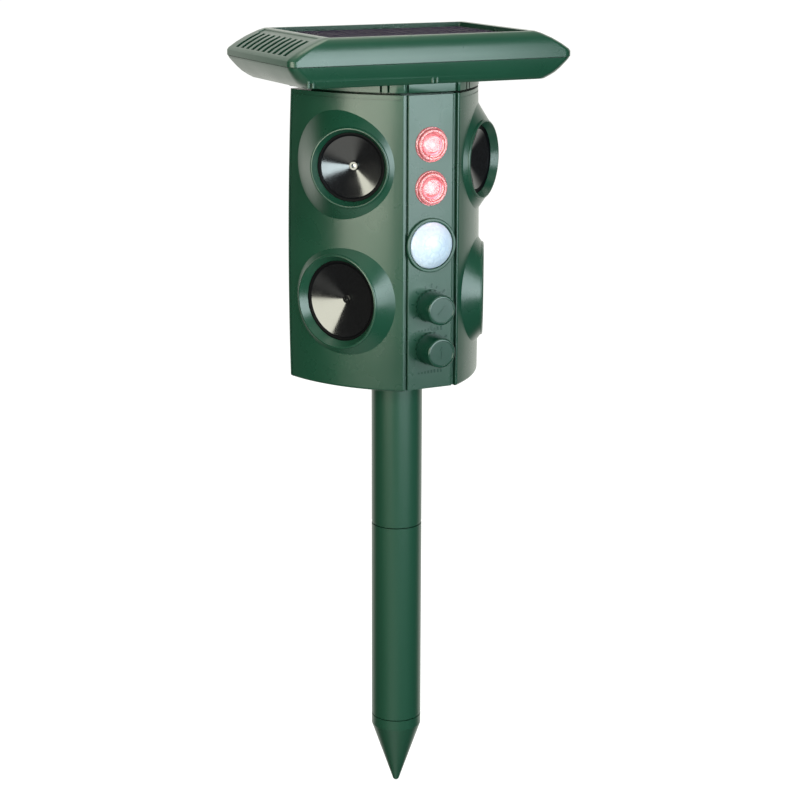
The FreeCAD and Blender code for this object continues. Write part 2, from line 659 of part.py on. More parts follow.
# ---- circuit boards
def control_board():
    half = CONTROL_BOARD_HALF
    board = box(-half, half, CONTROL_BOARD_Y, CONTROL_BOARD_Y + BOARD_THICK, *CONTROL_BOARD_Z)
    holes = [front_cylinder(BOARD_HOLE_RADIUS, z, -30, 0, x) for x, z in CONTROL_BOARD_SCREWS]
    return board.cut(holes)


def main_board():
    half = MAIN_BOARD_HALF
    board = box(-half, half, MAIN_BOARD_Y, MAIN_BOARD_Y + BOARD_THICK, *MAIN_BOARD_Z)
    holes = [front_cylinder(BOARD_HOLE_RADIUS, z, 0, 20, x) for x, z in MAIN_BOARD_SCREWS]
    return board.cut(holes)


def board_components():
    """Chips, a transformer, capacitors and a connector on the front of the main board."""
    face = MAIN_BOARD_Y - SEAT_GAP
    parts = [
        box(-9, 9, face - 2.2, face, 196, 208),
        box(-7, 2, face - 1.8, face, 178, 186),
        box(6, 18, face - 8.0, face, 214, 226),
        box(-20, -8, face - 6.0, face, 226, 232),
        front_cylinder(4.0, 222.0, face - 10.0, face, -4.0),
        front_cylinder(3.2, 176.0, face - 8.0, face, 12.0),
        front_cylinder(2.5, 186.0, face - 7.0, face, 14.0),
    ]
    return group(parts)


def board_spacers():
    """Tubes between the front wall of the housing and the control board."""
    posts = []
    for x, z in CONTROL_BOARD_SCREWS:
        posts.append(front_tube(2.5, 1.45, z, FRONT_WALL_BACK_Y + SEAT_GAP, CONTROL_BOARD_Y - SEAT_GAP, x))
    return group(posts)


def small_screw(radius, length, head_radius, head_height, z, y_head, x, direction):
    """Pan-head screw whose shank runs along +Y (direction 1) or -Y (direction -1)."""
    axis = Vector(0, direction, 0)
    shank = Part.makeCylinder(radius, length, Vector(x, y_head, z), axis)
    head = Part.makeCylinder(head_radius, head_height, Vector(x, y_head, z), -axis)
    edges = [edge for edge in head.Edges if abs(edge.CenterOfMass.y - y_head) > head_height - 0.01]
    head = head.makeFillet(head_height * 0.45, edges)
    top_y = y_head - direction * head_height
    depth = head_height * 0.6
    arm = head_radius * 0.6
    half = 0.35
    recess = box(x - arm, x + arm, top_y - depth, top_y + depth, z - half, z + half)
    recess = recess.fuse(box(x - half, x + half, top_y - depth, top_y + depth, z - arm, z + arm))
    return shank.fuse(head).cut(recess).removeSplitter()


def board_screw(x, z, board_y):
    seat = board_y + BOARD_THICK + SEAT_GAP
    return small_screw(BOARD_SCREW_RADIUS, BOARD_SCREW_LENGTH, BOARD_SCREW_HEAD_RADIUS, 1.5, z, seat, x, -1)


def board_screws():
    screws = []
    for x, z in CONTROL_BOARD_SCREWS:
        screws.append(board_screw(x, z, CONTROL_BOARD_Y))
    for x, z in MAIN_BOARD_SCREWS:
        screws.append(board_screw(x, z, MAIN_BOARD_Y))
    return group(screws)


def body_screws():
    screws = []
    for x, z in BODY_SCREW_SPOTS:
        seat = PARTING_Y + PARTING_GAP + BODY_SCREW_SEAT + SEAT_GAP
        screws.append(small_screw(SCREW_SHANK_RADIUS, 12.0, SCREW_HEAD_RADIUS, 1.8, z, seat, x, -1))
    return group(screws)


# ---- battery
def battery_holder():
    """Open tray with three half-round bays that face the rear door."""
    half_x = BATTERY_PITCH * 1.5 + 0.9
    half_z = BATTERY_LENGTH / 2.0 + 3.4
    end_wall = 1.4
    tray_front = MAIN_BOARD_Y + BOARD_THICK + 1.2
    tray = box(-half_x, half_x, tray_front, BATTERY_Y + 1.6, BATTERY_MID_Z - half_z, BATTERY_MID_Z + half_z)
    bays = []
    low = BATTERY_MID_Z - half_z + end_wall
    high = BATTERY_MID_Z + half_z - end_wall
    for index in (-1, 0, 1):
        x = index * BATTERY_PITCH
        mouth = BATTERY_RADIUS + 0.1
        bays.append(upright_cylinder(BATTERY_RADIUS + 0.3, low, high, x, BATTERY_Y))
        bays.append(box(x - mouth, x + mouth, BATTERY_Y, BATTERY_Y + 9, low, high))
    reach = body_loft(DOOR_THICK + 1.85, BODY_BOTTOM_Z, BODY_TOP_Z)
    ears = []
    for side in (-1, 1):
        for z in (BATTERY_MID_Z - half_z + 5.0, BATTERY_MID_Z + half_z - 5.0):
            inner = side * (half_x - 0.6)
            outer = side * (DOOR_HALF_X - 0.5)
            ear = box(min(inner, outer), max(inner, outer), 12.0, BACK_Y, z - 3.0, z + 3.0)
            ears.append(ear.common(reach))
    return tray.cut(bays).fuse(ears).removeSplitter()


def battery_cells():
    cells = []
    for index in (-1, 0, 1):
        x = index * BATTERY_PITCH
        low = BATTERY_MID_Z - BATTERY_LENGTH / 2.0
        can = upright_cylinder(BATTERY_RADIUS, low, low + BATTERY_LENGTH - 1.2, x, BATTERY_Y)
        button = upright_cylinder(2.6, low + BATTERY_LENGTH - 1.3, low + BATTERY_LENGTH, x, BATTERY_Y)
        cell = can.fuse(button).removeSplitter()
        if index == 0:
            cell.rotate(Vector(x, BATTERY_Y, BATTERY_MID_Z), Vector(0, 1, 0), 180)
        cells.append(cell)
    return group(cells)


def battery_contacts():
    """Flat contact plates at both ends of every cell."""
    contacts = []
    half = 5.0
    front = BATTERY_Y - half
    back = BATTERY_Y + half
    for index in (-1, 0, 1):
        x = index * BATTERY_PITCH
        for end in (-1, 1):
            low = BATTERY_MID_Z + end * (BATTERY_LENGTH / 2.0 + 1.4) - CONTACT_THICK / 2.0
            contacts.append(box(x - half, x + half, front, back, low, low + CONTACT_THICK))
    return group(contacts)


def battery_door():
    """Curved door that continues the skin of the rear cover, with two screw holes."""
    skin = body_loft(0.0, BODY_BOTTOM_Z, BODY_TOP_Z).cut(body_loft(DOOR_THICK, BODY_BOTTOM_Z, BODY_TOP_Z))
    limit = box(-DOOR_HALF_X + DOOR_GAP, DOOR_HALF_X - DOOR_GAP, PARTING_Y + 2, FAR,
                DOOR_BOTTOM_Z + DOOR_GAP, DOOR_TOP_Z - DOOR_GAP)
    door = skin.common(limit)
    ribs = []
    for index in range(5):
        z = BATTERY_MID_Z - 6.0 + index * 3.0
        rib = box(-9.0, 9.0, BACK_Y - 2.0, BACK_Y + 3.0, z - 0.6, z + 0.6)
        ribs.append(rib.common(body_loft(-0.5, BODY_BOTTOM_Z, BODY_TOP_Z)))
    door = door.fuse(ribs)
    cutters = []
    for z in (DOOR_BOTTOM_Z + 4.0, DOOR_TOP_Z - 4.0):
        cutters.append(front_cylinder(SCREW_SHANK_RADIUS + 0.3, z, 10, FAR))
        cutters.append(front_cylinder(SCREW_HEAD_RADIUS + 0.3, z, DOOR_SCREW_SEAT_Y, FAR))
    return door.cut(cutters).removeSplitter()


def door_screws():
    screws = []
    for z in (DOOR_BOTTOM_Z + 4.0, DOOR_TOP_Z - 4.0):
        seat = DOOR_SCREW_SEAT_Y + SEAT_GAP
        screws.append(small_screw(SCREW_SHANK_RADIUS, 5.0, SCREW_HEAD_RADIUS, 1.3, z, seat, 0.0, -1))
    return group(screws)


# ---- charging port
def charge_socket():
    back = BACK_Y - PORT_POCKET_DEPTH - PORT_POCKET_WALL
    shell = box(-4.6, 4.6, back - 7.0, back + 2.6, PORT_Z - 1.9, PORT_Z + 1.9)
    edges = [edge for edge in shell.Edges if edge.BoundBox.YLength > 5.0]
    shell = shell.makeFillet(1.5, edges)
    mouth = box(-4.1, 4.1, back - 4.0, back + 4.0, PORT_Z - 1.4, PORT_Z + 1.4)
    tongue = box(-3.3, 3.3, back - 4.5, back + 1.6, PORT_Z - 0.35, PORT_Z + 0.35)
    board = box(-9.0, 9.0, back - 8.6, back - 7.0, PORT_Z - 7.0, PORT_Z + 7.0)
    return shell.cut(mouth).fuse([tongue, board]).removeSplitter()


def charge_port_cover():
    """Soft flap that fills the recess, with a plug for the socket and a rounded hinge bead."""
    gap = 0.35
    face = BACK_Y - 0.9
    low = PORT_Z - PORT_HALF_Z + gap
    high = PORT_Z + PORT_HALF_Z - gap
    flap = box(-PORT_HALF_X + gap, PORT_HALF_X - gap, face - 1.6, face, low, high - 0.8)
    bead_start = Vector(-PORT_HALF_X + gap, face - 0.8, high - 0.8)
    bead = Part.makeCylinder(0.8, 2.0 * (PORT_HALF_X - gap), bead_start, Vector(1, 0, 0))
    tab = box(-2.5, 2.5, face - 0.4, face + 0.9, low, low + 1.2)
    return joined([flap, bead, tab])


# ---- base plate and its screws
def base_plate():
    low = BODY_BOTTOM_Z + BASE_RECESS
    high = low + BASE_THICK
    plate = body_plate(WALL + 0.25, low, high)
    half = PANEL_FOOT_HALF + PANEL_CLEARANCE + WALL + 0.25
    plate = plate.cut(box(-half, half, -FAR, FRONT_WALL_BACK_Y + 0.25, low - 1, high + 1))
    socket = upright_cylinder(STAKE_RADIUS + SOCKET_WALL, low, low + SOCKET_DEPTH + 2.0, 0, HEAD_FORWARD)
    ribs = []
    for angle in (30, 150, 270):
        reach = STAKE_RADIUS + SOCKET_WALL + SOCKET_RIB_REACH
        rib = box(STAKE_RADIUS + 1.0, reach, -0.9, 0.9, low, low + SOCKET_RIB_HEIGHT)
        rib.rotate(Vector(0, 0, 0), Vector(0, 0, 1), angle)
        rib.translate(Vector(0, HEAD_FORWARD, 0))
        ribs.append(rib)
    body = joined([plate, socket] + ribs)
    bore = upright_cylinder(STAKE_RADIUS + PUSH_FIT, low - 1.0, low + SOCKET_DEPTH, 0, HEAD_FORWARD)
    hole = SCREW_SHANK_RADIUS + 0.3
    holes = [upright_cylinder(hole, low - 1, high + 1, x, y) for x, y in BASE_SCREW_SPOTS]
    return body.cut([bore] + holes).removeSplitter()


def base_screws():
    """Slotted screws driven up through the base plate into the bosses of the two shells."""
    screws = []
    low = BODY_BOTTOM_Z + BASE_RECESS
    for x, y in BASE_SCREW_SPOTS:
        shank = upright_cylinder(SCREW_SHANK_RADIUS, low - 0.1, low + 9.0, x, y)
        head = upright_cylinder(SCREW_HEAD_RADIUS, low - 0.95, low - 0.05, x, y)
        slot = box(x - 1.9, x + 1.9, y - 0.35, y + 0.35, low - 1.5, low - 0.5)
        screws.append(shank.fuse(head).cut(slot).removeSplitter())
    return group(screws)


# ---- solar head
def rounded_rectangle(half_x, half_y, radius, z):
    """Plan outline centred on the solar head."""
    low = SOLAR_CENTRE_Y - half_y
    high = SOLAR_CENTRE_Y + half_y
    turn = radius * (1.0 - math.sqrt(0.5))
    edges = []
    corners = ((half_x, low, 1, -1), (half_x, high, 1, 1), (-half_x, high, -1, 1), (-half_x, low, -1, -1))
    starts = []
    for x, y, sign_x, sign_y in corners:
        on_side = Vector(x, y - sign_y * radius, z)
        on_end = Vector(x - sign_x * radius, y, z)
        middle = Vector(x - sign_x * turn, y - sign_y * turn, z)
        first, last = (on_end, on_side) if sign_x * sign_y < 0 else (on_side, on_end)
        starts.append((first, middle, last))
    for index, (first, middle, last) in enumerate(starts):
        edges.append(Part.Arc(first, middle, last).toShape())
        edges.append(Part.makeLine(last, starts[(index + 1) % 4][0]))
    return Part.Wire(edges)


def solar_loft(profile, inset, rise):
    outlines = []
    for z, half_x, half_y, radius in profile:
        corner = max(radius - inset, 1.0)
        outlines.append(rounded_rectangle(half_x - inset, half_y - inset, corner, z + rise))
    return Part.makeLoft(outlines, True, True)


def solar_block(half_x, half_y, radius, z_low, z_high):
    outline = rounded_rectangle(half_x, half_y, radius, z_low)
    return Part.Face(outline).extrude(Vector(0, 0, z_high - z_low))


def vent_slots(side):
    """Ten slots that run straight down the long slope at one end."""
    slots = []
    first = SOLAR_CENTRE_Y - VENT_PITCH * (VENT_COUNT - 1) / 2.0
    low = min(side * VENT_TOP_X, side * VENT_BOTTOM_X)
    high = low + VENT_BOTTOM_X - VENT_TOP_X
    half = VENT_WIDTH / 2.0
    for index in range(VENT_COUNT):
        y = first + index * VENT_PITCH
        slots.append(box(low, high, y - half, y + half, SOLAR_SEAM_Z + 1.4, SOLAR_RIM_Z + 5.0))
    return slots


def vent_field(side):
    """Shallow sunk strip between the rim and the slots."""
    half = VENT_PITCH * VENT_COUNT / 2.0
    ends = (side * VENT_FIELD_X, side * (VENT_TOP_X + 0.2))
    front = SOLAR_CENTRE_Y - half
    back = SOLAR_CENTRE_Y + half
    strip = box(min(ends), max(ends), front, back, SOLAR_SEAM_Z, SOLAR_RIM_Z + FAR)
    return strip.cut(solar_loft(SOLAR_TOP_PROFILE, 0.0, -VENT_FIELD_DEPTH))


def solar_top_cover():
    outer = solar_loft(SOLAR_TOP_PROFILE, 0.0, 0.0)
    upper_edges = [edge for edge in outer.Edges
                   if edge.BoundBox.ZMin > SOLAR_RIM_Z - 0.01]
    outer = outer.makeFillet(0.5, upper_edges)
    inner = solar_loft(SOLAR_TOP_PROFILE, SOLAR_WALL, -1.6)
    tray = solar_block(POCKET_HALF_X + TRAY_WALL, POCKET_HALF_Y + TRAY_WALL - 0.6, POCKET_CORNER + 2,
                       POCKET_FLOOR_Z - 1.8, SOLAR_RIM_Z)
    cover = outer.cut(inner.cut(tray))
    pocket = solar_block(POCKET_HALF_X, POCKET_HALF_Y, POCKET_CORNER, POCKET_FLOOR_Z, SOLAR_RIM_Z + 2)
    window = solar_block(POCKET_HALF_X - LIP_WIDTH, POCKET_HALF_Y - LIP_WIDTH, POCKET_CORNER,
                         POCKET_FLOOR_Z - 4, POCKET_FLOOR_Z + 1)
    cutters = [pocket, window]
    for _, side in SIDES:
        cutters.extend(vent_slots(side))
        cutters.append(vent_field(side))
    reach = solar_loft(SOLAR_TOP_PROFILE, 1.0, -0.8)
    reach = reach.fuse(solar_block(76.0, 41.5, 4.0, SOLAR_SEAM_Z - 3.0, SOLAR_SEAM_Z + 1.0))
    bosses = []
    for x, y in cover_screw_spots():
        top = POCKET_FLOOR_Z - 0.5 if abs(x) < POCKET_HALF_X else SOLAR_RIM_Z
        post = upright_cylinder(COVER_POST_RADIUS, SOLAR_SEAM_Z - 2.5, top, x, y).common(reach)
        bosses.append(post.cut(upright_cylinder(COVER_SCREW_RADIUS + 0.1, 250.0, SOLAR_SEAM_Z + 2.6, x, y)))
    return cover.cut(cutters).fuse(bosses).removeSplitter()


def cover_screw_spots():
    return [(x, y) for x in COVER_SCREW_X for y in COVER_SCREW_Y]


def solar_bottom_cover():
    outer = solar_loft(SOLAR_BOTTOM_PROFILE, 0.0, 0.0)
    inner = solar_loft(SOLAR_BOTTOM_PROFILE, SOLAR_WALL, SOLAR_WALL)
    dish = outer.cut(inner)
    dish = dish.cut(box(-FAR, FAR, -FAR, FAR, SOLAR_SEAM_Z - SOLAR_SEAM_GAP, SOLAR_SEAM_Z + 5))
    collar = body_plate(-COLLAR_PROUD, COLLAR_BOTTOM_Z, SOLAR_FLOOR_Z + 0.5)
    collar = collar.cut(body_plate(COLLAR_WALL, COLLAR_BOTTOM_Z - 1, SOLAR_FLOOR_Z + 1))
    grooves = collar_details()
    seat = body_plate(COLLAR_SEAT_INSET, BODY_TOP_Z + SEAT_GAP, SOLAR_FLOOR_Z + 0.5)
    seat = seat.cut(body_plate(COLLAR_SEAT_INSET + 2.5, BODY_TOP_Z - 1, SOLAR_FLOOR_Z + 1))
    spigot = body_plate(COLLAR_SPIGOT_INSET, BODY_TOP_Z - 5.5, SOLAR_FLOOR_Z + 0.5)
    passage = body_plate(COLLAR_SPIGOT_INSET + COLLAR_WALL, BODY_TOP_Z - 8, SOLAR_FLOOR_Z + 6)
    posts = []
    holes = []
    below = SOLAR_FLOOR_Z - 1.0
    for x, y in cover_screw_spots():
        posts.append(upright_cylinder(COVER_POST_RADIUS, SOLAR_FLOOR_Z, SOLAR_SEAM_Z - 3.0, x, y))
        holes.append(upright_cylinder(COVER_SCREW_RADIUS + 0.2, below, SOLAR_SEAM_Z, x, y))
        holes.append(upright_cylinder(COVER_SCREW_HEAD_RADIUS + 0.2, below, COVER_SCREW_SEAT_Z, x, y))
    ribs = []
    for x in COVER_RIB_X:
        for offset in (-COVER_RIB_SPREAD, COVER_RIB_SPREAD):
            ribs.append(upright_cylinder(COVER_RIB_RADIUS, *COVER_RIB_Z, x + offset, COVER_RIB_Y))
    solid = joined([dish, collar.cut(grooves), seat, spigot] + posts + ribs)
    return solid.cut([passage] + holes).removeSplitter()


def collar_details():
    """Front grooves that carry on from the body, and the slots beside each snap tab."""
    low = COLLAR_BOTTOM_Z - 1.0
    high = SOLAR_FLOOR_Z + 0.1
    cutters = []
    for side in (-1, 1):
        inner = side * PANEL_HALF
        outer = side * PANEL_FOOT_HALF
        cutters.append(box(min(inner, outer), max(inner, outer), -FAR, PANEL_GROOVE_Y - 0.6, low, high))
        for offset in (-LATCH_HALF, LATCH_HALF):
            left = side * LATCH_X + offset - LATCH_SLOT / 2.0
            cutters.append(box(left, left + LATCH_SLOT, -34.0, -20.0, low, high - 0.6))
    return cutters


def solar_cover_screws():
    screws = []
    seat = COVER_SCREW_SEAT_Z - SEAT_GAP
    for x, y in cover_screw_spots():
        shank = upright_cylinder(COVER_SCREW_RADIUS, seat - 0.1, SOLAR_SEAM_Z + 2.2, x, y)
        head = upright_cylinder(COVER_SCREW_HEAD_RADIUS, seat - 1.2, seat, x, y)
        slot = box(x - 1.3, x + 1.3, y - 0.25, y + 0.25, seat - 1.6, seat - 0.7)
        screws.append(shank.fuse(head).cut(slot).removeSplitter())
    return group(screws)


def solar_backplate():
    low = POCKET_FLOOR_Z + GASKET_THICK
    return solar_block(POCKET_HALF_X - PANEL_FIT, POCKET_HALF_Y - PANEL_FIT, 1.2, low, low + BACKPLATE_THICK)


def panel_gasket():
    low = POCKET_FLOOR_Z + SEAT_GAP
    high = POCKET_FLOOR_Z + GASKET_THICK - SEAT_GAP
    outer = solar_block(POCKET_HALF_X - 0.6, POCKET_HALF_Y - 0.6, 1.2, low, high)
    inner = solar_block(POCKET_HALF_X - 3.0, POCKET_HALF_Y - 3.0, 1.0, low - 1, high + 1)
    return outer.cut(inner)


def solar_cells():
    """Eight narrow cells side by side on the backplate."""
    low = POCKET_FLOOR_Z + GASKET_THICK + BACKPLATE_THICK + SEAT_GAP
    span = 2.0 * (POCKET_HALF_X - 3.2)
    front = SOLAR_CENTRE_Y - POCKET_HALF_Y + 3.4
    back = SOLAR_CENTRE_Y + POCKET_HALF_Y - 3.4
    pitch = span / CELL_COUNT
    cells = []
    for index in range(CELL_COUNT):
        left = -span / 2.0 + index * pitch + CELL_GAP / 2.0
        cells.append(box(left, left + pitch - CELL_GAP, front, back, low, low + CELL_THICK))
    return group(cells)


def solar_resin():
    """Clear layer over the cells; its underside is relieved over them."""
    low = POCKET_FLOOR_Z + GASKET_THICK + BACKPLATE_THICK + SEAT_GAP
    block = solar_block(POCKET_HALF_X - PANEL_FIT, POCKET_HALF_Y - PANEL_FIT, 1.2, low, RESIN_TOP_Z)
    relief = solar_block(POCKET_HALF_X - 3.0, POCKET_HALF_Y - 3.0, 1.0, low - 1, low + CELL_THICK + 0.04)
    return block.cut(relief)


def housing_seal():
    """Cord gasket between the two covers, just inside the seam."""
    low = SOLAR_SEAM_Z - SOLAR_SEAM_GAP + SEAT_GAP
    high = SOLAR_SEAM_Z - SEAT_GAP
    _, half_x, half_y, _ = SOLAR_TOP_PROFILE[0]
    outer = solar_block(half_x - 0.7, half_y - 0.7, 4.4, low, high)
    inner = solar_block(half_x - 1.9, half_y - 1.9, 3.4, low - 1, high + 1)
    return outer.cut(inner)


def body_seal():
    """Gasket between the front housing and the rear cover, down both sides and over the top."""
    outer = body_loft(0.9, BODY_BOTTOM_Z + 0.5, BODY_TOP_Z - 0.9)
    inner = body_loft(1.9, BODY_BOTTOM_Z - 1.0, BODY_TOP_Z - 1.9)
    gap = box(-FAR, FAR, PARTING_Y + SEAT_GAP, PARTING_Y + PARTING_GAP - SEAT_GAP, BODY_BOTTOM_Z, BODY_TOP_Z)
    return outer.cut(inner).common(gap)


def lead(points):
    """Round lead: straight runs joined by tangent arcs."""
    corners = [Vector(*point) for point in points]
    edges = []
    start = corners[0]
    for before, corner, after in zip(corners, corners[1:], corners[2:]):
        run = min((corner - before).Length, (after - corner).Length)
        inward = (before - corner).normalize()
        onward = (after - corner).normalize()
        set_back = 0.45 * run
        half_turn = (math.pi - inward.getAngle(onward)) / 2.0
        radius = set_back / math.tan(half_turn)
        bisector = (inward + onward).normalize()
        sagitta = radius / math.cos(half_turn) - radius
        first = corner + inward * set_back
        last = corner + onward * set_back
        edges.append(Part.makeLine(start, first))
        edges.append(Part.Arc(first, corner + bisector * sagitta, last).toShape())
        start = last
    edges.append(Part.makeLine(start, corners[-1]))
    direction = (corners[1] - corners[0]).normalize()
    section = Part.Wire(Part.Circle(corners[0], direction, LEAD_RADIUS).toShape())
    return Part.Wire(edges).makePipeShell([section], True, False)


def speaker_leads():
    """One lead from the back of every transducer to the main board."""
    leads = []
    board = MAIN_BOARD_Y + 1.0
    limit = box(-FAR, FAR, -FAR, MAIN_BOARD_Y - SEAT_GAP, BODY_BOTTOM_Z, BODY_TOP_Z)
    for _, side in SIDES:
        for speaker in (UPPER_SPEAKER, LOWER_SPEAKER):
            place = speaker_placement(speaker, side)
            start = place.multVec(Vector(0, 0, -19.4))
            clear = place.multVec(Vector(0, 0, -25.0))
            if speaker is UPPER_SPEAKER:
                route = [start, clear, Vector(side * 22.0, 5.0, 210.0), Vector(side * 23.0, board, 214.0)]
            else:
                route = [start, clear, Vector(side * 19.0, 2.0, 148.0), Vector(side * 20.0, 2.4, 161.0),
                         Vector(side * 23.0, board, 170.0)]
            leads.append(lead(route).common(limit))
    return group(leads)


def solar_lead():
    """Lead from the back of the solar cells down to the connector on the main board."""
    socket_x = -14.0
    socket_y = MAIN_BOARD_Y - 3.0
    top = POCKET_FLOOR_Z + 0.35
    spots = ((0.0, 232.05), (0.0, 242.0), (4.0, 250.5), (1.0, 259.0), (1.0, top))
    return lead([(socket_x + x, socket_y, z) for x, z in spots])


def vent_screens():
    """Insect screens: a sloping strip behind the slots at each end."""
    screens = []
    half = VENT_PITCH * VENT_COUNT / 2.0
    thick = 0.5
    upper = (65.6, 265.4)
    lower = (76.0, 260.4)
    for _, side in SIDES:
        corners = [
            Vector(side * upper[0], SOLAR_CENTRE_Y - half, upper[1]),
            Vector(side * lower[0], SOLAR_CENTRE_Y - half, lower[1]),
            Vector(side * lower[0], SOLAR_CENTRE_Y - half, lower[1] - thick),
            Vector(side * upper[0], SOLAR_CENTRE_Y - half, upper[1] - thick),
        ]
        strip = Part.Face(Part.makePolygon(corners + [corners[0]])).extrude(Vector(0, 2 * half, 0))
        screens.append(strip)
    return group(screens)


def alarm_buzzer():
    """Round sounder lying in the bottom cover near the left vents."""
    low = SOLAR_FLOOR_Z + SOLAR_WALL + SEAT_GAP
    can = upright_cylinder(11.0, low, low + 7.0, -42.0, 3.0)
    port = upright_cylinder(1.4, low + 4.0, low + 8.0, -42.0, 3.0)
    pins = [upright_cylinder(0.4, low + 6.9, low + 8.4, x, 3.0) for x in (-47.0, -37.0)]
    return joined([can.cut(port)] + pins)


# ---- stake
def stake_upper():
    top = BODY_BOTTOM_Z + BASE_RECESS + SOCKET_DEPTH - 0.3
    tube = upright_tube(STAKE_RADIUS, STAKE_RADIUS - STAKE_WALL, STAKE_GROUND_Z + 2.0, top)
    band = upright_tube(STAKE_RADIUS - 0.1, STAKE_RADIUS - STAKE_WALL, STAKE_GROUND_Z + STAKE_JOINT_GROOVE,
                        STAKE_GROUND_Z + 2.0)
    return tube.fuse(band).removeSplitter()


def stake_lower():
    low = STAKE_TIP_JOINT_Z + STAKE_JOINT_GROOVE
    tube = upright_tube(STAKE_RADIUS, STAKE_RADIUS - STAKE_WALL, low, STAKE_GROUND_Z)
    spigot_radius = STAKE_RADIUS - STAKE_WALL - PUSH_FIT
    spigot = upright_tube(spigot_radius, spigot_radius - STAKE_WALL, -6.0, STAKE_RIB_LENGTH * 2)
    web = upright_tube(STAKE_RADIUS - 1.0, spigot_radius - STAKE_WALL, -6.0, -0.5)
    return joined([tube, spigot, web])


def stake_tip():
    """Solid point with a spigot that plugs into the lower tube."""
    shoulder = STAKE_TIP_JOINT_Z - STAKE_TIP_BAND
    nose_z = STAKE_TIP_Z + STAKE_TIP_NOSE
    point = revolved([
        (0, STAKE_TIP_JOINT_Z), (STAKE_RADIUS, STAKE_TIP_JOINT_Z), (STAKE_RADIUS, shoulder),
        (STAKE_TIP_NOSE * 0.95, nose_z - STAKE_TIP_NOSE * 0.4), (STAKE_TIP_NOSE * 0.6, STAKE_TIP_Z + 0.35),
        (0, STAKE_TIP_Z),
    ])
    spigot_radius = STAKE_RADIUS - STAKE_WALL - PUSH_FIT
    spigot_top = STAKE_TIP_JOINT_Z + STAKE_TIP_SPIGOT
    spigot = upright_cylinder(spigot_radius, STAKE_TIP_JOINT_Z - 0.5, spigot_top)
    return point.fuse(spigot).removeSplitter()


def speaker_nodes():
    makers = (("speaker_cone", speaker_cone), ("speaker_ring", speaker_ring), ("piezo_driver", piezo_driver))
    for speaker in (UPPER_SPEAKER, LOWER_SPEAKER):
        for name, side in SIDES:
            for label, maker in makers:
                save_head(maker(speaker, side), label + "_" + speaker["level"] + "_" + name)


def main():
    os.makedirs("parts", exist_ok=True)
    shell = head_shell()
    save_head(front_housing(shell), "front_housing")
    save_head(rear_cover(shell), "rear_cover")
    save_head(control_panel(), "control_panel")
    speaker_nodes()
    for name, z in zip(("upper", "lower"), LED_Z):
        save_head(led_lens(z), "led_lens_" + name)
        save_head(led_reflector(z), "led_reflector_" + name)
    save_head(led_emitters(), "led_emitters")
    save_head(pir_bezel(), "pir_bezel")
    save_head(pir_lens(), "pir_lens")
    save_head(pir_sensor(), "pir_sensor")
    save_head(knob(MODE_Z, MODE_POINTER_ANGLE), "mode_knob")
    save_head(knob(SENSITIVITY_Z, SENSITIVITY_POINTER_ANGLE), "sensitivity_knob")
    save_head(control_shaft(MODE_Z), "mode_shaft")
    save_head(control_shaft(SENSITIVITY_Z), "sensitivity_shaft")
    save_head(rotary_control(MODE_Z, 8.4), "mode_switch")
    save_head(rotary_control(SENSITIVITY_Z, 7.6), "sensitivity_pot")
    save_head(control_board(), "control_board")
    save_head(main_board(), "main_board")
    save_head(board_components(), "board_components")
    save_head(board_spacers(), "board_spacers")
    save_head(board_screws(), "board_screws")
    save_head(body_screws(), "body_screws")
    save_head(battery_holder(), "battery_holder")
    save_head(battery_cells(), "battery_cells")
    save_head(battery_contacts(), "battery_contacts")
    save_head(battery_door(), "battery_door")
    save_head(door_screws(), "door_screws")
    save_head(charge_socket(), "charge_socket")
    save_head(charge_port_cover(), "charge_port_cover")
    save_head(base_plate(), "base_plate")
    save_head(base_screws(), "base_screws")
    save_head(solar_top_cover(), "solar_top_cover")
    save_head(solar_bottom_cover(), "solar_bottom_cover")
    save_head(solar_cover_screws(), "solar_cover_screws")
    save_head(solar_backplate(), "solar_backplate")
    save_head(panel_gasket(), "panel_gasket")
    save_head(solar_cells(), "solar_cells")
    save_head(solar_resin(), "solar_resin")
    save_head(housing_seal(), "housing_seal")
    save_head(body_seal(), "body_seal")
    save_head(speaker_leads(), "speaker_leads")
    save_head(solar_lead(), "solar_lead")
    save_head(vent_screens(), "vent_screens")
    save_head(alarm_buzzer(), "alarm_buzzer")
    save(stake_upper(), "stake_upper")
    save(stake_lower(), "stake_lower")
    save(stake_tip(), "stake_tip")


main()
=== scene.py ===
import bmesh
import bpy
import json
import math
from mathutils import Matrix, Vector


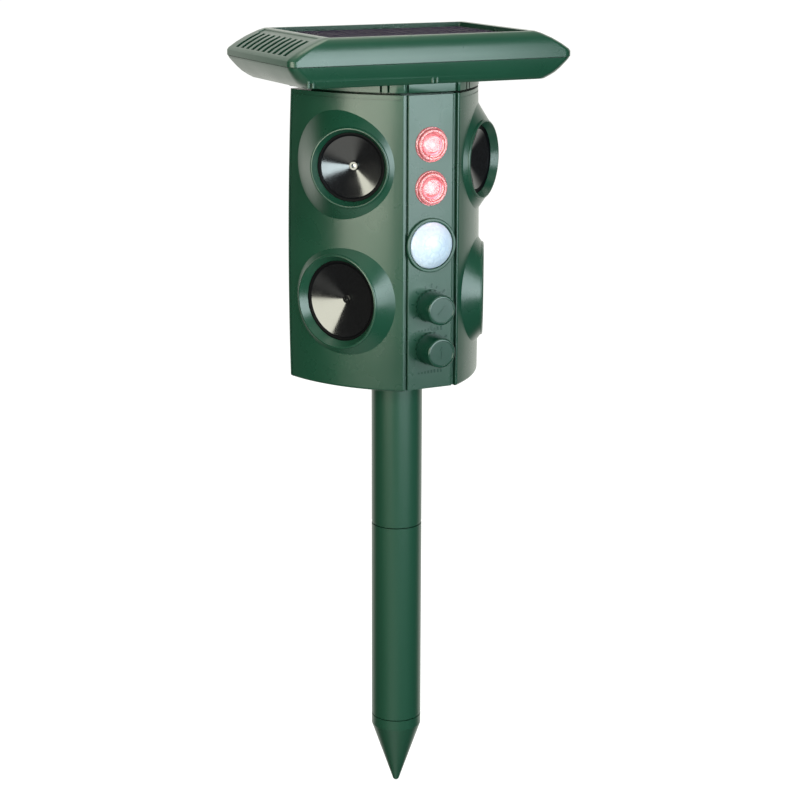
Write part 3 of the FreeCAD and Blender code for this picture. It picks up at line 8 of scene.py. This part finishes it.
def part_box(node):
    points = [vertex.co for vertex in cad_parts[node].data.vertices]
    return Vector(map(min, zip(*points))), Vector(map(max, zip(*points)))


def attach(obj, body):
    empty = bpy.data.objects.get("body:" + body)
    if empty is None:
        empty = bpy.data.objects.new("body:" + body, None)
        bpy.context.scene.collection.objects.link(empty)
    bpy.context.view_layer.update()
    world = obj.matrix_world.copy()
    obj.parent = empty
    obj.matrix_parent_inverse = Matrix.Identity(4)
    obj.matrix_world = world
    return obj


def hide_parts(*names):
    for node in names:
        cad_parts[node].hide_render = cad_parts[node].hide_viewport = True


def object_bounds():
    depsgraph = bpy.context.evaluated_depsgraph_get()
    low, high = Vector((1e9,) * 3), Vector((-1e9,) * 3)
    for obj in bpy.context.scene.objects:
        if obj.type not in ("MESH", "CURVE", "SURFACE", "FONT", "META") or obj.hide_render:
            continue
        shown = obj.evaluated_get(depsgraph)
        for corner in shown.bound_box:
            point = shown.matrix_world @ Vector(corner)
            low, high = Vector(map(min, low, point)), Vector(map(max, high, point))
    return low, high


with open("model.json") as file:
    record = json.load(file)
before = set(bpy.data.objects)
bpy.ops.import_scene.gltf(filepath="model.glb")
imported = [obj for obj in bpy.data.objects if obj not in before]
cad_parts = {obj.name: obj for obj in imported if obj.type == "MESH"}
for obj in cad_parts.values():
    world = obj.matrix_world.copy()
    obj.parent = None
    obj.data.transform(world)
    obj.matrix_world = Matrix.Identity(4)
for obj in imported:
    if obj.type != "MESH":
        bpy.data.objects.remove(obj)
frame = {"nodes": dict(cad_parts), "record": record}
cad_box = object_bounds()
nodes = frame["nodes"]
slot_of = {part["node"]: part["material_slot"] for part in frame["record"]["subparts"]}

MM = 0.001

# ---- camera: it circles a point on the head's middle line, 4 mm in front of the stake axis
CAMERA_AZIMUTH = math.radians(-26.395)
CAMERA_DISTANCE = 1.0569
CAMERA_HEIGHT = 0.3479
CAMERA_PITCH = math.radians(14.645)
CAMERA_ROLL = math.radians(0.157)
CAMERA_LENS = 89.04
HEAD_MIDDLE = Vector((0.0, -0.004, 0.0))
FLOOR_Z = cad_box[0].z - 0.0002

# ---- front face of the control panel, read from its node
PANEL_FACE_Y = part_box("control_panel")[0].y

# ---- knobs, and the ticks and bars round them
KNOB_RADIUS = 8.0 * MM
KNOB_SKIRT_RADIUS = 8.8 * MM
KNOB_TEETH = 20
DIAL_RADIUS = 9.6
RELIEF_HEIGHT = 0.3 * MM

# ---- studio
FLOOR_REACH = 40.0
UP = Vector((0.0, 0.0, 1.0))
WHITE = (1.0, 1.0, 1.0, 1.0)


def link(obj):
    bpy.context.scene.collection.objects.link(obj)
    return obj


# ---- camera, lights, floor
def make_camera():
    data = bpy.data.cameras.new("camera")
    data.lens = CAMERA_LENS
    data.sensor_width = 36.0
    data.clip_start = 0.05
    data.clip_end = 60.0
    camera = link(bpy.data.objects.new("camera", data))
    away = Vector((math.sin(CAMERA_AZIMUTH), -math.cos(CAMERA_AZIMUTH), 0.0))
    right = Vector((math.cos(CAMERA_AZIMUTH), math.sin(CAMERA_AZIMUTH), 0.0))
    forward = -away * math.cos(CAMERA_PITCH) - UP * math.sin(CAMERA_PITCH)
    up = right.cross(forward)
    turned_right = right * math.cos(CAMERA_ROLL) + up * math.sin(CAMERA_ROLL)
    turned_up = up * math.cos(CAMERA_ROLL) - right * math.sin(CAMERA_ROLL)
    turn = Matrix((turned_right, turned_up, -forward)).transposed()
    place = HEAD_MIDDLE + away * CAMERA_DISTANCE + UP * CAMERA_HEIGHT
    camera.matrix_world = Matrix.Translation(place) @ turn.to_4x4()
    bpy.context.scene.camera = camera


def area_light(name, place, aim, width, height, radiance, colour):
    """Rectangular soft light that faces along aim and that the camera doesn't see."""
    data = bpy.data.lights.new(name, "AREA")
    data.shape = "RECTANGLE"
    data.size = width
    data.size_y = height
    data.energy = radiance * math.pi * width * height
    data.color = colour
    light = link(bpy.data.objects.new(name, data))
    light.location = place
    light.rotation_mode = "QUATERNION"
    light.rotation_quaternion = aim.to_track_quat("-Z", "Y")
    light.visible_camera = False


def softbox(name, azimuth, distance, low, high, width, radiance, colour):
    """Upright soft light on a circle about the object; azimuth 0 is in front, positive towards +X."""
    angle = math.radians(azimuth)
    out = Vector((math.sin(angle), -math.cos(angle), 0.0))
    place = out * distance + UP * ((low + high) / 2.0)
    area_light(name, place, -out, width, high - low, radiance, colour)


def make_world():
    """Surroundings that are white behind and above the object, with a grey patch low on the left.

    Each term is a direction, the cosines between which its light fades in, and its two levels.
    """
    world = bpy.data.worlds.new("studio")
    world.use_nodes = True
    tree = world.node_tree
    background = tree.nodes["Background"]
    direction = tree.nodes.new("ShaderNodeTexCoord").outputs["Generated"]
    back = Vector((-math.sin(CAMERA_AZIMUTH), math.cos(CAMERA_AZIMUTH), 0.0))
    low_left = Vector((-0.50, -0.57, -0.65)).normalized()
    terms = (
        (back, 0.32, 0.75, 0.05, 1.15),
        (UP, 0.55, 0.95, 0.0, 1.0),
        (low_left, 0.84, 0.97, 0.0, 0.8),
        (-UP, 0.80, 0.97, 0.0, 0.45),
    )
    levels = []
    for axis, start, end, low, high in terms:
        dot = tree.nodes.new("ShaderNodeVectorMath")
        dot.operation = "DOT_PRODUCT"
        dot.inputs[1].default_value = axis
        tree.links.new(direction, dot.inputs[0])
        ramp = tree.nodes.new("ShaderNodeMapRange")
        ramp.interpolation_type = "SMOOTHSTEP"
        ramp.inputs["From Min"].default_value = start
        ramp.inputs["From Max"].default_value = end
        ramp.inputs["To Min"].default_value = low
        ramp.inputs["To Max"].default_value = high
        tree.links.new(dot.outputs["Value"], ramp.inputs["Value"])
        levels.append(ramp.outputs["Result"])
    total = levels[0]
    for level in levels[1:]:
        add = tree.nodes.new("ShaderNodeMath")
        add.operation = "ADD"
        tree.links.new(total, add.inputs[0])
        tree.links.new(level, add.inputs[1])
        total = add.outputs["Value"]
    background.inputs["Color"].default_value = (0.99, 1.0, 0.93, 1.0)
    tree.links.new(total, background.inputs["Strength"])
    bpy.context.scene.world = world


def make_floor():
    """Pale studio floor that glows, so that it stays even over its whole width."""
    sides = ((-1, -1), (1, -1), (1, 1), (-1, 1))
    corners = [(x * FLOOR_REACH, y * FLOOR_REACH, FLOOR_Z) for x, y in sides]
    mesh = bpy.data.meshes.new("floor")
    mesh.from_pydata(corners, [], [(0, 1, 2, 3)])
    floor = link(bpy.data.objects.new("floor", mesh))
    material, _, shader = new_material("floor")
    shader.inputs["Base Color"].default_value = (0.22, 0.22, 0.22, 1.0)
    shader.inputs["Roughness"].default_value = 0.9
    shader.inputs["Specular IOR Level"].default_value = 0.0
    shader.inputs["Emission Color"].default_value = WHITE
    shader.inputs["Emission Strength"].default_value = 0.9
    mesh.materials.append(material)
    floor.visible_glossy = False
    floor.visible_diffuse = False


# ---- materials
def new_material(name):
    material = bpy.data.materials.new(name)
    material.use_nodes = True
    return material, material.node_tree, material.node_tree.nodes["Principled BSDF"]


def object_space(tree, scale=(1.0, 1.0, 1.0)):
    coordinates = tree.nodes.new("ShaderNodeTexCoord")
    mapping = tree.nodes.new("ShaderNodeMapping")
    mapping.inputs["Scale"].default_value = scale
    tree.links.new(coordinates.outputs["Object"], mapping.inputs["Vector"])
    return mapping.outputs["Vector"]


def noise(tree, vector, scale, detail=2.0):
    texture = tree.nodes.new("ShaderNodeTexNoise")
    texture.inputs["Scale"].default_value = scale
    texture.inputs["Detail"].default_value = detail
    tree.links.new(vector, texture.inputs["Vector"])
    return texture.outputs["Fac"]


def spread(tree, value, low, high):
    """Map a noise value, which stays near 0.5, to the range low..high."""
    ramp = tree.nodes.new("ShaderNodeMapRange")
    ramp.inputs["From Min"].default_value = 0.3
    ramp.inputs["From Max"].default_value = 0.7
    ramp.inputs["To Min"].default_value = low
    ramp.inputs["To Max"].default_value = high
    tree.links.new(value, ramp.inputs["Value"])
    return ramp.outputs["Result"]


def blend_colour(tree, value, first, second):
    mix = tree.nodes.new("ShaderNodeMix")
    mix.data_type = "RGBA"
    mix.inputs["A"].default_value = (*first, 1.0)
    mix.inputs["B"].default_value = (*second, 1.0)
    tree.links.new(value, mix.inputs["Factor"])
    return mix.outputs["Result"]


def add_bump(tree, shader, value, strength, distance):
    bump = tree.nodes.new("ShaderNodeBump")
    bump.inputs["Strength"].default_value = strength
    bump.inputs["Distance"].default_value = distance
    tree.links.new(value, bump.inputs["Height"])
    tree.links.new(bump.outputs["Normal"], shader.inputs["Normal"])


def moulded(name, colour, roughness, grain=0.12, stretch=(1.0, 1.0, 1.0), variation=0.14, ior=1.5):
    """Moulded plastic: slow changes of colour and gloss over a fine moulded grain."""
    material, tree, shader = new_material(name)
    space = object_space(tree, stretch)
    cloud = spread(tree, noise(tree, space, 14.0, 3.0), 0.0, 1.0)
    darker = tuple(c * (1.0 - variation) for c in colour)
    lighter = tuple(c * (1.0 + variation) for c in colour)
    tree.links.new(blend_colour(tree, cloud, darker, lighter), shader.inputs["Base Color"])
    gloss = spread(tree, noise(tree, space, 45.0, 4.0), roughness - 0.025, roughness + 0.025)
    tree.links.new(gloss, shader.inputs["Roughness"])
    add_bump(tree, shader, noise(tree, space, 1400.0, 3.0), grain, 0.00008)
    shader.inputs["IOR"].default_value = ior
    return material


def metal(name, colour, roughness, stretch=(1.0, 1.0, 1.0)):
    """Metal with fine drawing lines and dull patches."""
    material, tree, shader = new_material(name)
    space = object_space(tree, stretch)
    shader.inputs["Metallic"].default_value = 1.0
    patch = spread(tree, noise(tree, space, 160.0, 3.0), 0.0, 1.0)
    dull = tuple(c * 0.8 for c in colour)
    tree.links.new(blend_colour(tree, patch, dull, colour), shader.inputs["Base Color"])
    tree.links.new(spread(tree, noise(tree, space, 700.0, 2.0), roughness * 0.75, roughness * 1.3),
                   shader.inputs["Roughness"])
    add_bump(tree, shader, noise(tree, space, 2600.0, 2.0), 0.1, 0.00005)
    return material


def funnel_black():
    """Glossy black plastic with a slight waviness that bends the reflections."""
    material, tree, shader = new_material("funnel_black")
    space = object_space(tree)
    dust = spread(tree, noise(tree, space, 900.0, 2.0), 0.0, 1.0)
    tree.links.new(blend_colour(tree, dust, (0.0025, 0.0025, 0.003), (0.006, 0.006, 0.007)),
                   shader.inputs["Base Color"])
    tree.links.new(spread(tree, noise(tree, space, 80.0, 2.0), 0.10, 0.16), shader.inputs["Roughness"])
    add_bump(tree, shader, noise(tree, space, 55.0, 1.0), 0.12, 0.0008)
    shader.inputs["IOR"].default_value = 1.85
    return material


def lamp_glass():
    """Clear window of a lit red lamp."""
    material, tree, shader = new_material("lamp_glass")
    space = object_space(tree)
    patch = spread(tree, noise(tree, space, 300.0, 3.0), 0.0, 1.0)
    tree.links.new(blend_colour(tree, patch, (0.82, 0.2, 0.23), (0.95, 0.42, 0.42)),
                   shader.inputs["Base Color"])
    tree.links.new(spread(tree, noise(tree, space, 500.0, 2.0), 0.03, 0.1), shader.inputs["Roughness"])
    shader.inputs["Transmission Weight"].default_value = 0.85
    shader.inputs["IOR"].default_value = 1.49
    shader.inputs["Emission Color"].default_value = (1.0, 0.16, 0.18, 1.0)
    shader.inputs["Emission Strength"].default_value = 0.06
    return material


def lamp_glow():
    """Lit lamp body in a patchy pale red."""
    material, tree, shader = new_material("lamp_glow")
    space = object_space(tree)
    patch = spread(tree, noise(tree, space, 400.0, 2.0), 0.0, 1.0)
    tree.links.new(blend_colour(tree, patch, (1.0, 0.55, 0.55), (1.0, 0.8, 0.78)),
                   shader.inputs["Emission Color"])
    shader.inputs["Base Color"].default_value = (0.9, 0.25, 0.25, 1.0)
    shader.inputs["Roughness"].default_value = 0.2
    shader.inputs["Emission Strength"].default_value = 1.1
    return material


def sensor_white():
    """Milky polythene of the motion-sensor window."""
    material, tree, shader = new_material("sensor_white")
    space = object_space(tree)
    patch = spread(tree, noise(tree, space, 120.0, 3.0), 0.0, 1.0)
    tree.links.new(blend_colour(tree, patch, (0.40, 0.46, 0.56), (0.46, 0.52, 0.60)),
                   shader.inputs["Base Color"])
    tree.links.new(spread(tree, noise(tree, space, 300.0, 2.0), 0.26, 0.36), shader.inputs["Roughness"])
    shader.inputs["Subsurface Weight"].default_value = 0.25
    shader.inputs["Subsurface Radius"].default_value = (0.002, 0.0024, 0.003)
    return material


def stripes(tree, axis, pitch, width):
    """1 on thin lines across the object axis given, 0 between them."""
    coordinates = tree.nodes.new("ShaderNodeTexCoord")
    split = tree.nodes.new("ShaderNodeSeparateXYZ")
    tree.links.new(coordinates.outputs["Object"], split.inputs["Vector"])
    value = split.outputs[axis]
    for operation, amount in (("DIVIDE", pitch), ("FRACT", 0.0), ("LESS_THAN", width)):
        step = tree.nodes.new("ShaderNodeMath")
        step.operation = operation
        tree.links.new(value, step.inputs[0])
        step.inputs[1].default_value = amount
        value = step.outputs["Value"]
    return value


def solar_cell():
    """Dark purple silicon with fine printed fingers crossed by evenly spaced bars."""
    material, tree, shader = new_material("solar_cell")
    space = object_space(tree)
    crystal = tree.nodes.new("ShaderNodeTexVoronoi")
    crystal.inputs["Scale"].default_value = 170.0
    tree.links.new(space, crystal.inputs["Vector"])
    silicon = blend_colour(tree, crystal.outputs["Distance"],
                           (0.010, 0.007, 0.018), (0.022, 0.015, 0.034))
    fingers = stripes(tree, "Y", 2.1 * MM, 0.12)
    bars = stripes(tree, "X", 6.8 * MM, 0.1)
    either = tree.nodes.new("ShaderNodeMath")
    either.operation = "MAXIMUM"
    tree.links.new(fingers, either.inputs[0])
    tree.links.new(bars, either.inputs[1])
    mix = tree.nodes.new("ShaderNodeMix")
    mix.data_type = "RGBA"
    tree.links.new(either.outputs["Value"], mix.inputs["Factor"])
    tree.links.new(silicon, mix.inputs["A"])
    mix.inputs["B"].default_value = (0.07, 0.062, 0.078, 1.0)
    tree.links.new(mix.outputs["Result"], shader.inputs["Base Color"])
    tree.links.new(spread(tree, noise(tree, space, 60.0, 2.0), 0.38, 0.5), shader.inputs["Roughness"])
    shader.inputs["Specular IOR Level"].default_value = 0.0
    return material


def clear_resin():
    """Thin clear layer that mostly shows as a soft sheen."""
    material, tree, shader = new_material("clear_resin")
    space = object_space(tree)
    tree.links.new(spread(tree, noise(tree, space, 30.0, 2.0), 0.16, 0.26), shader.inputs["Roughness"])
    shader.inputs["Base Color"].default_value = (0.05, 0.045, 0.06, 1.0)
    shader.inputs["Alpha"].default_value = 0.03
    add_bump(tree, shader, noise(tree, space, 40.0, 2.0), 0.1, 0.0004)
    return material


def printed_board():
    """Solder mask with copper tracks just visible beneath it."""
    material, tree, shader = new_material("printed_board")
    space = object_space(tree)
    track = tree.nodes.new("ShaderNodeTexVoronoi")
    track.feature = "DISTANCE_TO_EDGE"
    track.distance = "MANHATTAN"
    track.inputs["Scale"].default_value = 240.0
    tree.links.new(space, track.inputs["Vector"])
    edge = tree.nodes.new("ShaderNodeMath")
    edge.operation = "LESS_THAN"
    edge.inputs[1].default_value = 0.08
    tree.links.new(track.outputs["Distance"], edge.inputs[0])
    tree.links.new(blend_colour(tree, edge.outputs["Value"], (0.008, 0.11, 0.04), (0.03, 0.2, 0.07)),
                   shader.inputs["Base Color"])
    shader.inputs["Roughness"].default_value = 0.3
    return material


def wrapped_cell():
    """Printed shrink wrap of a rechargeable cell with a plain band."""
    material, tree, shader = new_material("wrapped_cell")
    band = stripes(tree, "Z", 50.5 * MM, 0.3)
    tree.links.new(blend_colour(tree, band, (0.02, 0.22, 0.08), (0.5, 0.5, 0.5)), shader.inputs["Base Color"])
    space = object_space(tree)
    tree.links.new(spread(tree, noise(tree, space, 120.0, 2.0), 0.2, 0.34), shader.inputs["Roughness"])
    return material


GREEN = (0.0062, 0.039, 0.0215)
LOOKS = {
    "shell_green": moulded("shell_green", GREEN, 0.28),
    "solar_green": moulded("solar_green", GREEN, 0.29),
    "knob_green": moulded("knob_green", (0.0035, 0.032, 0.019), 0.24, grain=0.06),
    "stake_green": moulded("stake_green", GREEN, 0.33, stretch=(1.0, 1.0, 0.06)),
    "funnel_black": funnel_black(),
    "ring_black": moulded("ring_black", (0.0015, 0.0015, 0.002), 0.5, ior=1.15),
    "lamp_red": lamp_glass(),
    "emitter_red": lamp_glow(),
    "reflector": metal("reflector", (0.8, 0.22, 0.26), 0.3),
    "pir_white": sensor_white(),
    "steel": metal("steel", (0.56, 0.57, 0.59), 0.32),
    "contact": metal("contact", (0.72, 0.66, 0.5), 0.28),
    "can": metal("can", (0.7, 0.71, 0.73), 0.3),
    "board_green": printed_board(),
    "black_plastic": moulded("black_plastic", (0.012, 0.012, 0.013), 0.5),
    "seal_rubber": moulded("seal_rubber", (0.008, 0.009, 0.008), 0.75, grain=0.2),
    "cell_wrap": wrapped_cell(),
    "solar_cell": solar_cell(),
    "solar_resin": clear_resin(),
    "backplate_black": moulded("backplate_black", (0.01, 0.01, 0.013), 0.55),
    "lead_black": moulded("lead_black", (0.012, 0.012, 0.012), 0.5),
}


def paint(obj, slot):
    obj.data.materials.clear()
    obj.data.materials.append(LOOKS[slot])


# ---- mesh helpers
def join_rings(mesh, rings):
    """Faces between rings of points that follow one another; a ring of one point is a tip."""
    count = max(len(ring) for ring in rings)
    for first, second in zip(rings, rings[1:]):
        for index in range(count):
            following = (index + 1) % count
            if len(first) == 1:
                mesh.faces.new((first[0], second[index], second[following]))
            elif len(second) == 1:
                mesh.faces.new((first[index], second[0], first[following]))
            else:
                mesh.faces.new((first[index], second[index], second[following], first[following]))
    bmesh.ops.recalc_face_normals(mesh, faces=mesh.faces)


def turned(name, profile, centre, segments=64):
    """Solid turned about the front-to-back axis, from (radius, distance in front of centre) pairs."""
    mesh = bmesh.new()
    rings = []
    for radius, forward in profile:
        ring = []
        for index in range(segments if radius else 1):
            angle = 2.0 * math.pi * index / segments
            offset = Vector((radius * math.cos(angle), -forward, radius * math.sin(angle)))
            ring.append(mesh.verts.new(centre + offset))
        rings.append(ring)
    join_rings(mesh, rings)
    return finished(name, mesh)


def finished(name, mesh, smooth_angle=35.0):
    data = bpy.data.meshes.new(name)
    mesh.to_mesh(data)
    mesh.free()
    obj = link(bpy.data.objects.new(name, data))
    data.polygons.foreach_set("use_smooth", [True] * len(data.polygons))
    data.set_sharp_from_angle(angle=math.radians(smooth_angle))
    return obj


def place_piece(obj, slot, body, *replaced):
    paint(obj, slot)
    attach(obj, body)
    if replaced:
        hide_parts(*replaced)
    return obj


def rounded_corner(radius, low, high, turn, steps=5):
    """Profile points of a quarter round from the side (radius, low) to the face (radius - turn, high)."""
    points = []
    for step in range(steps + 1):
        angle = math.radians(90.0 * step / steps)
        points.append((radius - turn + turn * math.cos(angle), low + (high - low) * math.sin(angle)))
    return points


# ---- speakers: place of the lip centre, facing angle from the front, radius of the throat
SPEAKERS = {
    "upper": ((40.0, -24.6, 205.0), 39.5, 18.1),
    "lower": ((44.2, -16.8, 133.3), 60.5, 21.6),
}


def make_speaker_ring(level, name, side):
    """Dull black ring with a rounded front edge that covers the rim of the funnel."""
    (x, y, z), angle, throat = SPEAKERS[level]
    section = ((2.1, -4.72), (1.9, -4.45), (1.4, -4.15), (0.9, -3.98), (0.4, -3.95), (0.2, -4.1),
               (0.2, -4.9), (0.9, -4.9), (2.1, -4.72))
    profile = [((throat - inset) * MM, forward * MM) for inset, forward in section]
    ring = turned("ring_%s_%s" % (level, name), profile, Vector())
    turn = Matrix.Rotation(math.radians(side * angle), 4, "Z")
    ring.data.transform(Matrix.Translation(Vector((side * x, y, z)) * MM) @ turn)
    return place_piece(ring, "ring_black", "head")


# ---- lamps
def make_lamp(level):
    """Stepped clear window: flange, drum, rounded rim, a ring groove and a raised middle lens."""
    node = "led_lens_" + level
    low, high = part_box(node)
    centre = Vector((0.0, PANEL_FACE_Y, (low.z + high.z) / 2.0))
    profile = [(0.0, 0.6), (5.3, 0.6), (5.3, 0.05), (9.2, 0.05)]
    profile += rounded_corner(9.2, 0.6, 1.1, 0.5)
    profile += [(8.5, 1.15), (8.3, 2.2)]
    profile += rounded_corner(8.3, 2.2, 2.9, 0.8)
    profile += [(6.9, 2.85), (6.5, 2.2), (5.6, 2.0), (5.2, 2.3)]
    profile += [(4.7, 2.75), (3.8, 2.85), (2.0, 2.9), (0.0, 2.9)]
    profile = [(radius * MM, forward * MM) for radius, forward in profile]
    lamp = turned("lamp_window_" + level, profile, centre)
    lamp.visible_glossy = False
    return place_piece(lamp, "lamp_red", "head", node)


def make_glow(level):
    """Soft red light that the lit lamp throws on the panel round it."""
    low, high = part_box("led_lens_" + level)
    data = bpy.data.lights.new("glow_" + level, "POINT")
    data.color = (1.0, 0.2, 0.22)
    data.energy = 0.008
    data.shadow_soft_size = 0.003
    light = link(bpy.data.objects.new("glow_" + level, data))
    light.location = (0.0, PANEL_FACE_Y - 0.009, (low.z + high.z) / 2.0)
    light.visible_glossy = False
    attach(light, "head")


# ---- motion sensor: number of lens facets in each ring, from the middle out
SENSOR_RINGS = (1, 6, 12, 18)
FACET_CROWN = 0.16 * MM
FACET_INSET = 0.17 * MM


def make_sensor_window():
    """Domed window made of small lens facets in rings, each one slightly crowned."""
    node = "pir_lens"
    low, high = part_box(node)
    radius = (high.x - low.x) / 2.0
    foot = PANEL_FACE_Y - 1.0 * MM
    rise = foot - low.y
    sphere = (radius ** 2 + rise ** 2) / (2.0 * rise)
    centre = Vector((0.0, low.y + sphere, (low.z + high.z) / 2.0))
    edge_angle = math.asin(radius / sphere)
    mesh = bmesh.new()
    steps = 36
    around = 108
    rings = []
    for step in range(steps + 1):
        share = step / steps
        polar = edge_angle * share
        band = share * len(SENSOR_RINGS)
        row = min(int(band), len(SENSOR_RINGS) - 1)
        across = 4.0 * (band - row) * (1.0 - band + row)
        ring = []
        for index in range(around):
            turn = index / around
            count = SENSOR_RINGS[row]
            local = (turn * count) % 1.0
            along = 1.0 if count == 1 else 4.0 * local * (1.0 - local)
            swell = min(1.0, 2.2 * across) * min(1.0, 2.2 * along) if row else 1.0
            reach = sphere - FACET_INSET + FACET_CROWN * swell
            angle = 2.0 * math.pi * turn
            direction = Vector((math.sin(polar) * math.cos(angle), -math.cos(polar),
                                math.sin(polar) * math.sin(angle)))
            ring.append(mesh.verts.new(centre + direction * reach))
            if step == 0:
                break
        rings.append(ring)
    skirt = []
    for index in range(around):
        angle = 2.0 * math.pi * index / around
        skirt.append(mesh.verts.new((radius * math.cos(angle), PANEL_FACE_Y - 0.1 * MM,
                                     centre.z + radius * math.sin(angle))))
    rings.append(skirt)
    join_rings(mesh, rings)
    return place_piece(finished("sensor_window", mesh, 60.0), "pir_white", "head", node)


# ---- knobs
def make_knob(node, body, pointer_angle):
    """Round knob on a toothed skirt, with a rounded rim, a sunk face plate and a raised arrow."""
    low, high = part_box(node)
    centre = Vector((0.0, high.y, (low.z + high.z) / 2.0))
    length = high.y - low.y - 0.35 * MM
    skirt = KNOB_SKIRT_RADIUS
    grip = KNOB_RADIUS
    profile = [(0.0, 0.0), (skirt - 0.6 * MM, 0.0), (skirt - 0.6 * MM, 1.6 * MM), (grip + 0.3 * MM, 2.4 * MM)]
    profile += rounded_corner(grip, length - 1.0 * MM, length, 1.0 * MM, 6)
    profile += [(grip - 1.3 * MM, length), (grip - 1.5 * MM, length - 0.3 * MM), (0.0, length - 0.3 * MM)]
    knob = turned("knob_" + node.split("_")[0], profile, centre, 72)
    place_piece(knob, "knob_green", body, node)
    teeth = []
    for index in range(4 * KNOB_TEETH):
        angle = 2.0 * math.pi * index / (4 * KNOB_TEETH)
        reach = (skirt if index % 4 < 2 else skirt - 0.5 * MM) / MM
        teeth.append((reach * math.sin(angle), reach * math.cos(angle)))
    ring = flat_shape("skirt_" + node.split("_")[0], teeth, 1.5 * MM, centre)
    place_piece(ring, "knob_green", body)
    outline = ((-0.35, -3.2), (0.35, -3.2), (0.35, 1.4), (1.35, 1.4), (0.0, 3.6), (-1.35, 1.4), (-0.35, 1.4))
    face = Vector((0.0, centre.y - length + 0.35 * MM, centre.z))
    arrow = flat_shape("arrow_" + node.split("_")[0], outline, 0.4 * MM, face, pointer_angle)
    place_piece(arrow, "knob_green", body)


def make_dial(level, node, angles):
    """Raised ticks round a knob and, below it, a row of bars that grow from left to right."""
    low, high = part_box(node)
    centre = Vector((0.0, PANEL_FACE_Y + 0.02 * MM, (low.z + high.z) / 2.0))
    for index, angle in enumerate(angles):
        half = 0.32 if index % 2 else 0.45
        reach = DIAL_RADIUS + (1.6 if index % 2 else 2.2)
        outline = ((-half, DIAL_RADIUS), (half, DIAL_RADIUS), (half, reach), (-half, reach))
        tick = flat_shape("tick_%s_%d" % (level, index), outline, RELIEF_HEIGHT, centre, angle)
        place_piece(tick, "knob_green", "head")
    foot = -DIAL_RADIUS - 4.0
    for index in range(8):
        left = -7.0 + 1.9 * index
        top = foot + (0.8 + 0.2 * index)
        outline = ((left, foot), (left + 0.8, foot), (left + 0.8, top), (left, top))
        bar = flat_shape("bar_%s_%d" % (level, index), outline, RELIEF_HEIGHT, centre)
        place_piece(bar, "knob_green", "head")


def flat_shape(name, outline, thickness, place, angle=0.0):
    """Low raised shape on a face that looks to the front; the outline is in millimetres, Z up."""
    mesh = bmesh.new()
    cosine = math.cos(math.radians(angle))
    sine = math.sin(math.radians(angle))
    front = []
    back = []
    for x, z in outline:
        turned_x = (x * cosine + z * sine) * MM
        turned_z = (z * cosine - x * sine) * MM
        front.append(mesh.verts.new(place + Vector((turned_x, -thickness, turned_z))))
        back.append(mesh.verts.new(place + Vector((turned_x, 0.0, turned_z))))
    mesh.faces.new(front)
    mesh.faces.new(list(reversed(back)))
    for index in range(len(front)):
        following = (index + 1) % len(front)
        mesh.faces.new((front[index], back[index], back[following], front[following]))
    bmesh.ops.recalc_face_normals(mesh, faces=mesh.faces)
    return finished(name, mesh)


# ---- refined copies of the moulded shells, with softened edges
SOFTENED_ANGLE = 28.0


def softened(node, slot, body, width):
    """Copy of a CAD shell, welded, with rounded edges and smooth shading over its shallow facets."""
    mesh = bmesh.new()
    mesh.from_mesh(nodes[node].data)
    bmesh.ops.remove_doubles(mesh, verts=mesh.verts, dist=0.00001)
    bmesh.ops.dissolve_limit(mesh, angle_limit=math.radians(0.5), verts=mesh.verts, edges=mesh.edges)
    obj = finished("moulded_" + node, mesh, SOFTENED_ANGLE)
    bevel = obj.modifiers.new("edges", "BEVEL")
    bevel.width = width
    bevel.segments = 2
    bevel.limit_method = "ANGLE"
    bevel.angle_limit = math.radians(SOFTENED_ANGLE)
    bevel.harden_normals = True
    return place_piece(obj, slot, body, node)


for name, obj in nodes.items():
    paint(obj, slot_of[name])
softened("solar_top_cover", "solar_green", "head", 0.35 * MM)
softened("solar_bottom_cover", "solar_green", "head", 0.3 * MM)
for level in SPEAKERS:
    make_speaker_ring(level, "left", -1)
    make_speaker_ring(level, "right", 1)
for level in SPEAKERS:
    make_lamp(level)
    make_glow(level)
make_sensor_window()
make_knob("mode_knob", "mode_knob", 45.0)
make_knob("sensitivity_knob", "sensitivity_knob", 0.0)
make_dial("mode", "mode_knob", (-120.0, -82.0, -45.0, -15.0, 5.0, 22.0, 48.0))
make_dial("sensitivity", "sensitivity_knob", (-120.0, -60.0, 60.0, 120.0))

make_camera()
make_world()
make_floor()
softbox("front_box", 8.0, 1.15, -0.09, 0.70, 1.08, 9.0, (0.82, 0.97, 1.0))
softbox("left_box", -66.0, 1.12, -0.06, 0.72, 0.80, 7.2, (1.0, 1.0, 0.84))
TOP_BOX_PLACE = Vector((0.1, 0.2, 1.5))
TOP_BOX_TARGET = Vector((0.0, 0.0, 0.2))
area_light("top_box", TOP_BOX_PLACE, TOP_BOX_TARGET - TOP_BOX_PLACE, 1.1, 0.9, 3.4, (1.0, 1.0, 0.86))
bpy.context.scene.view_settings.view_transform = "Standard"
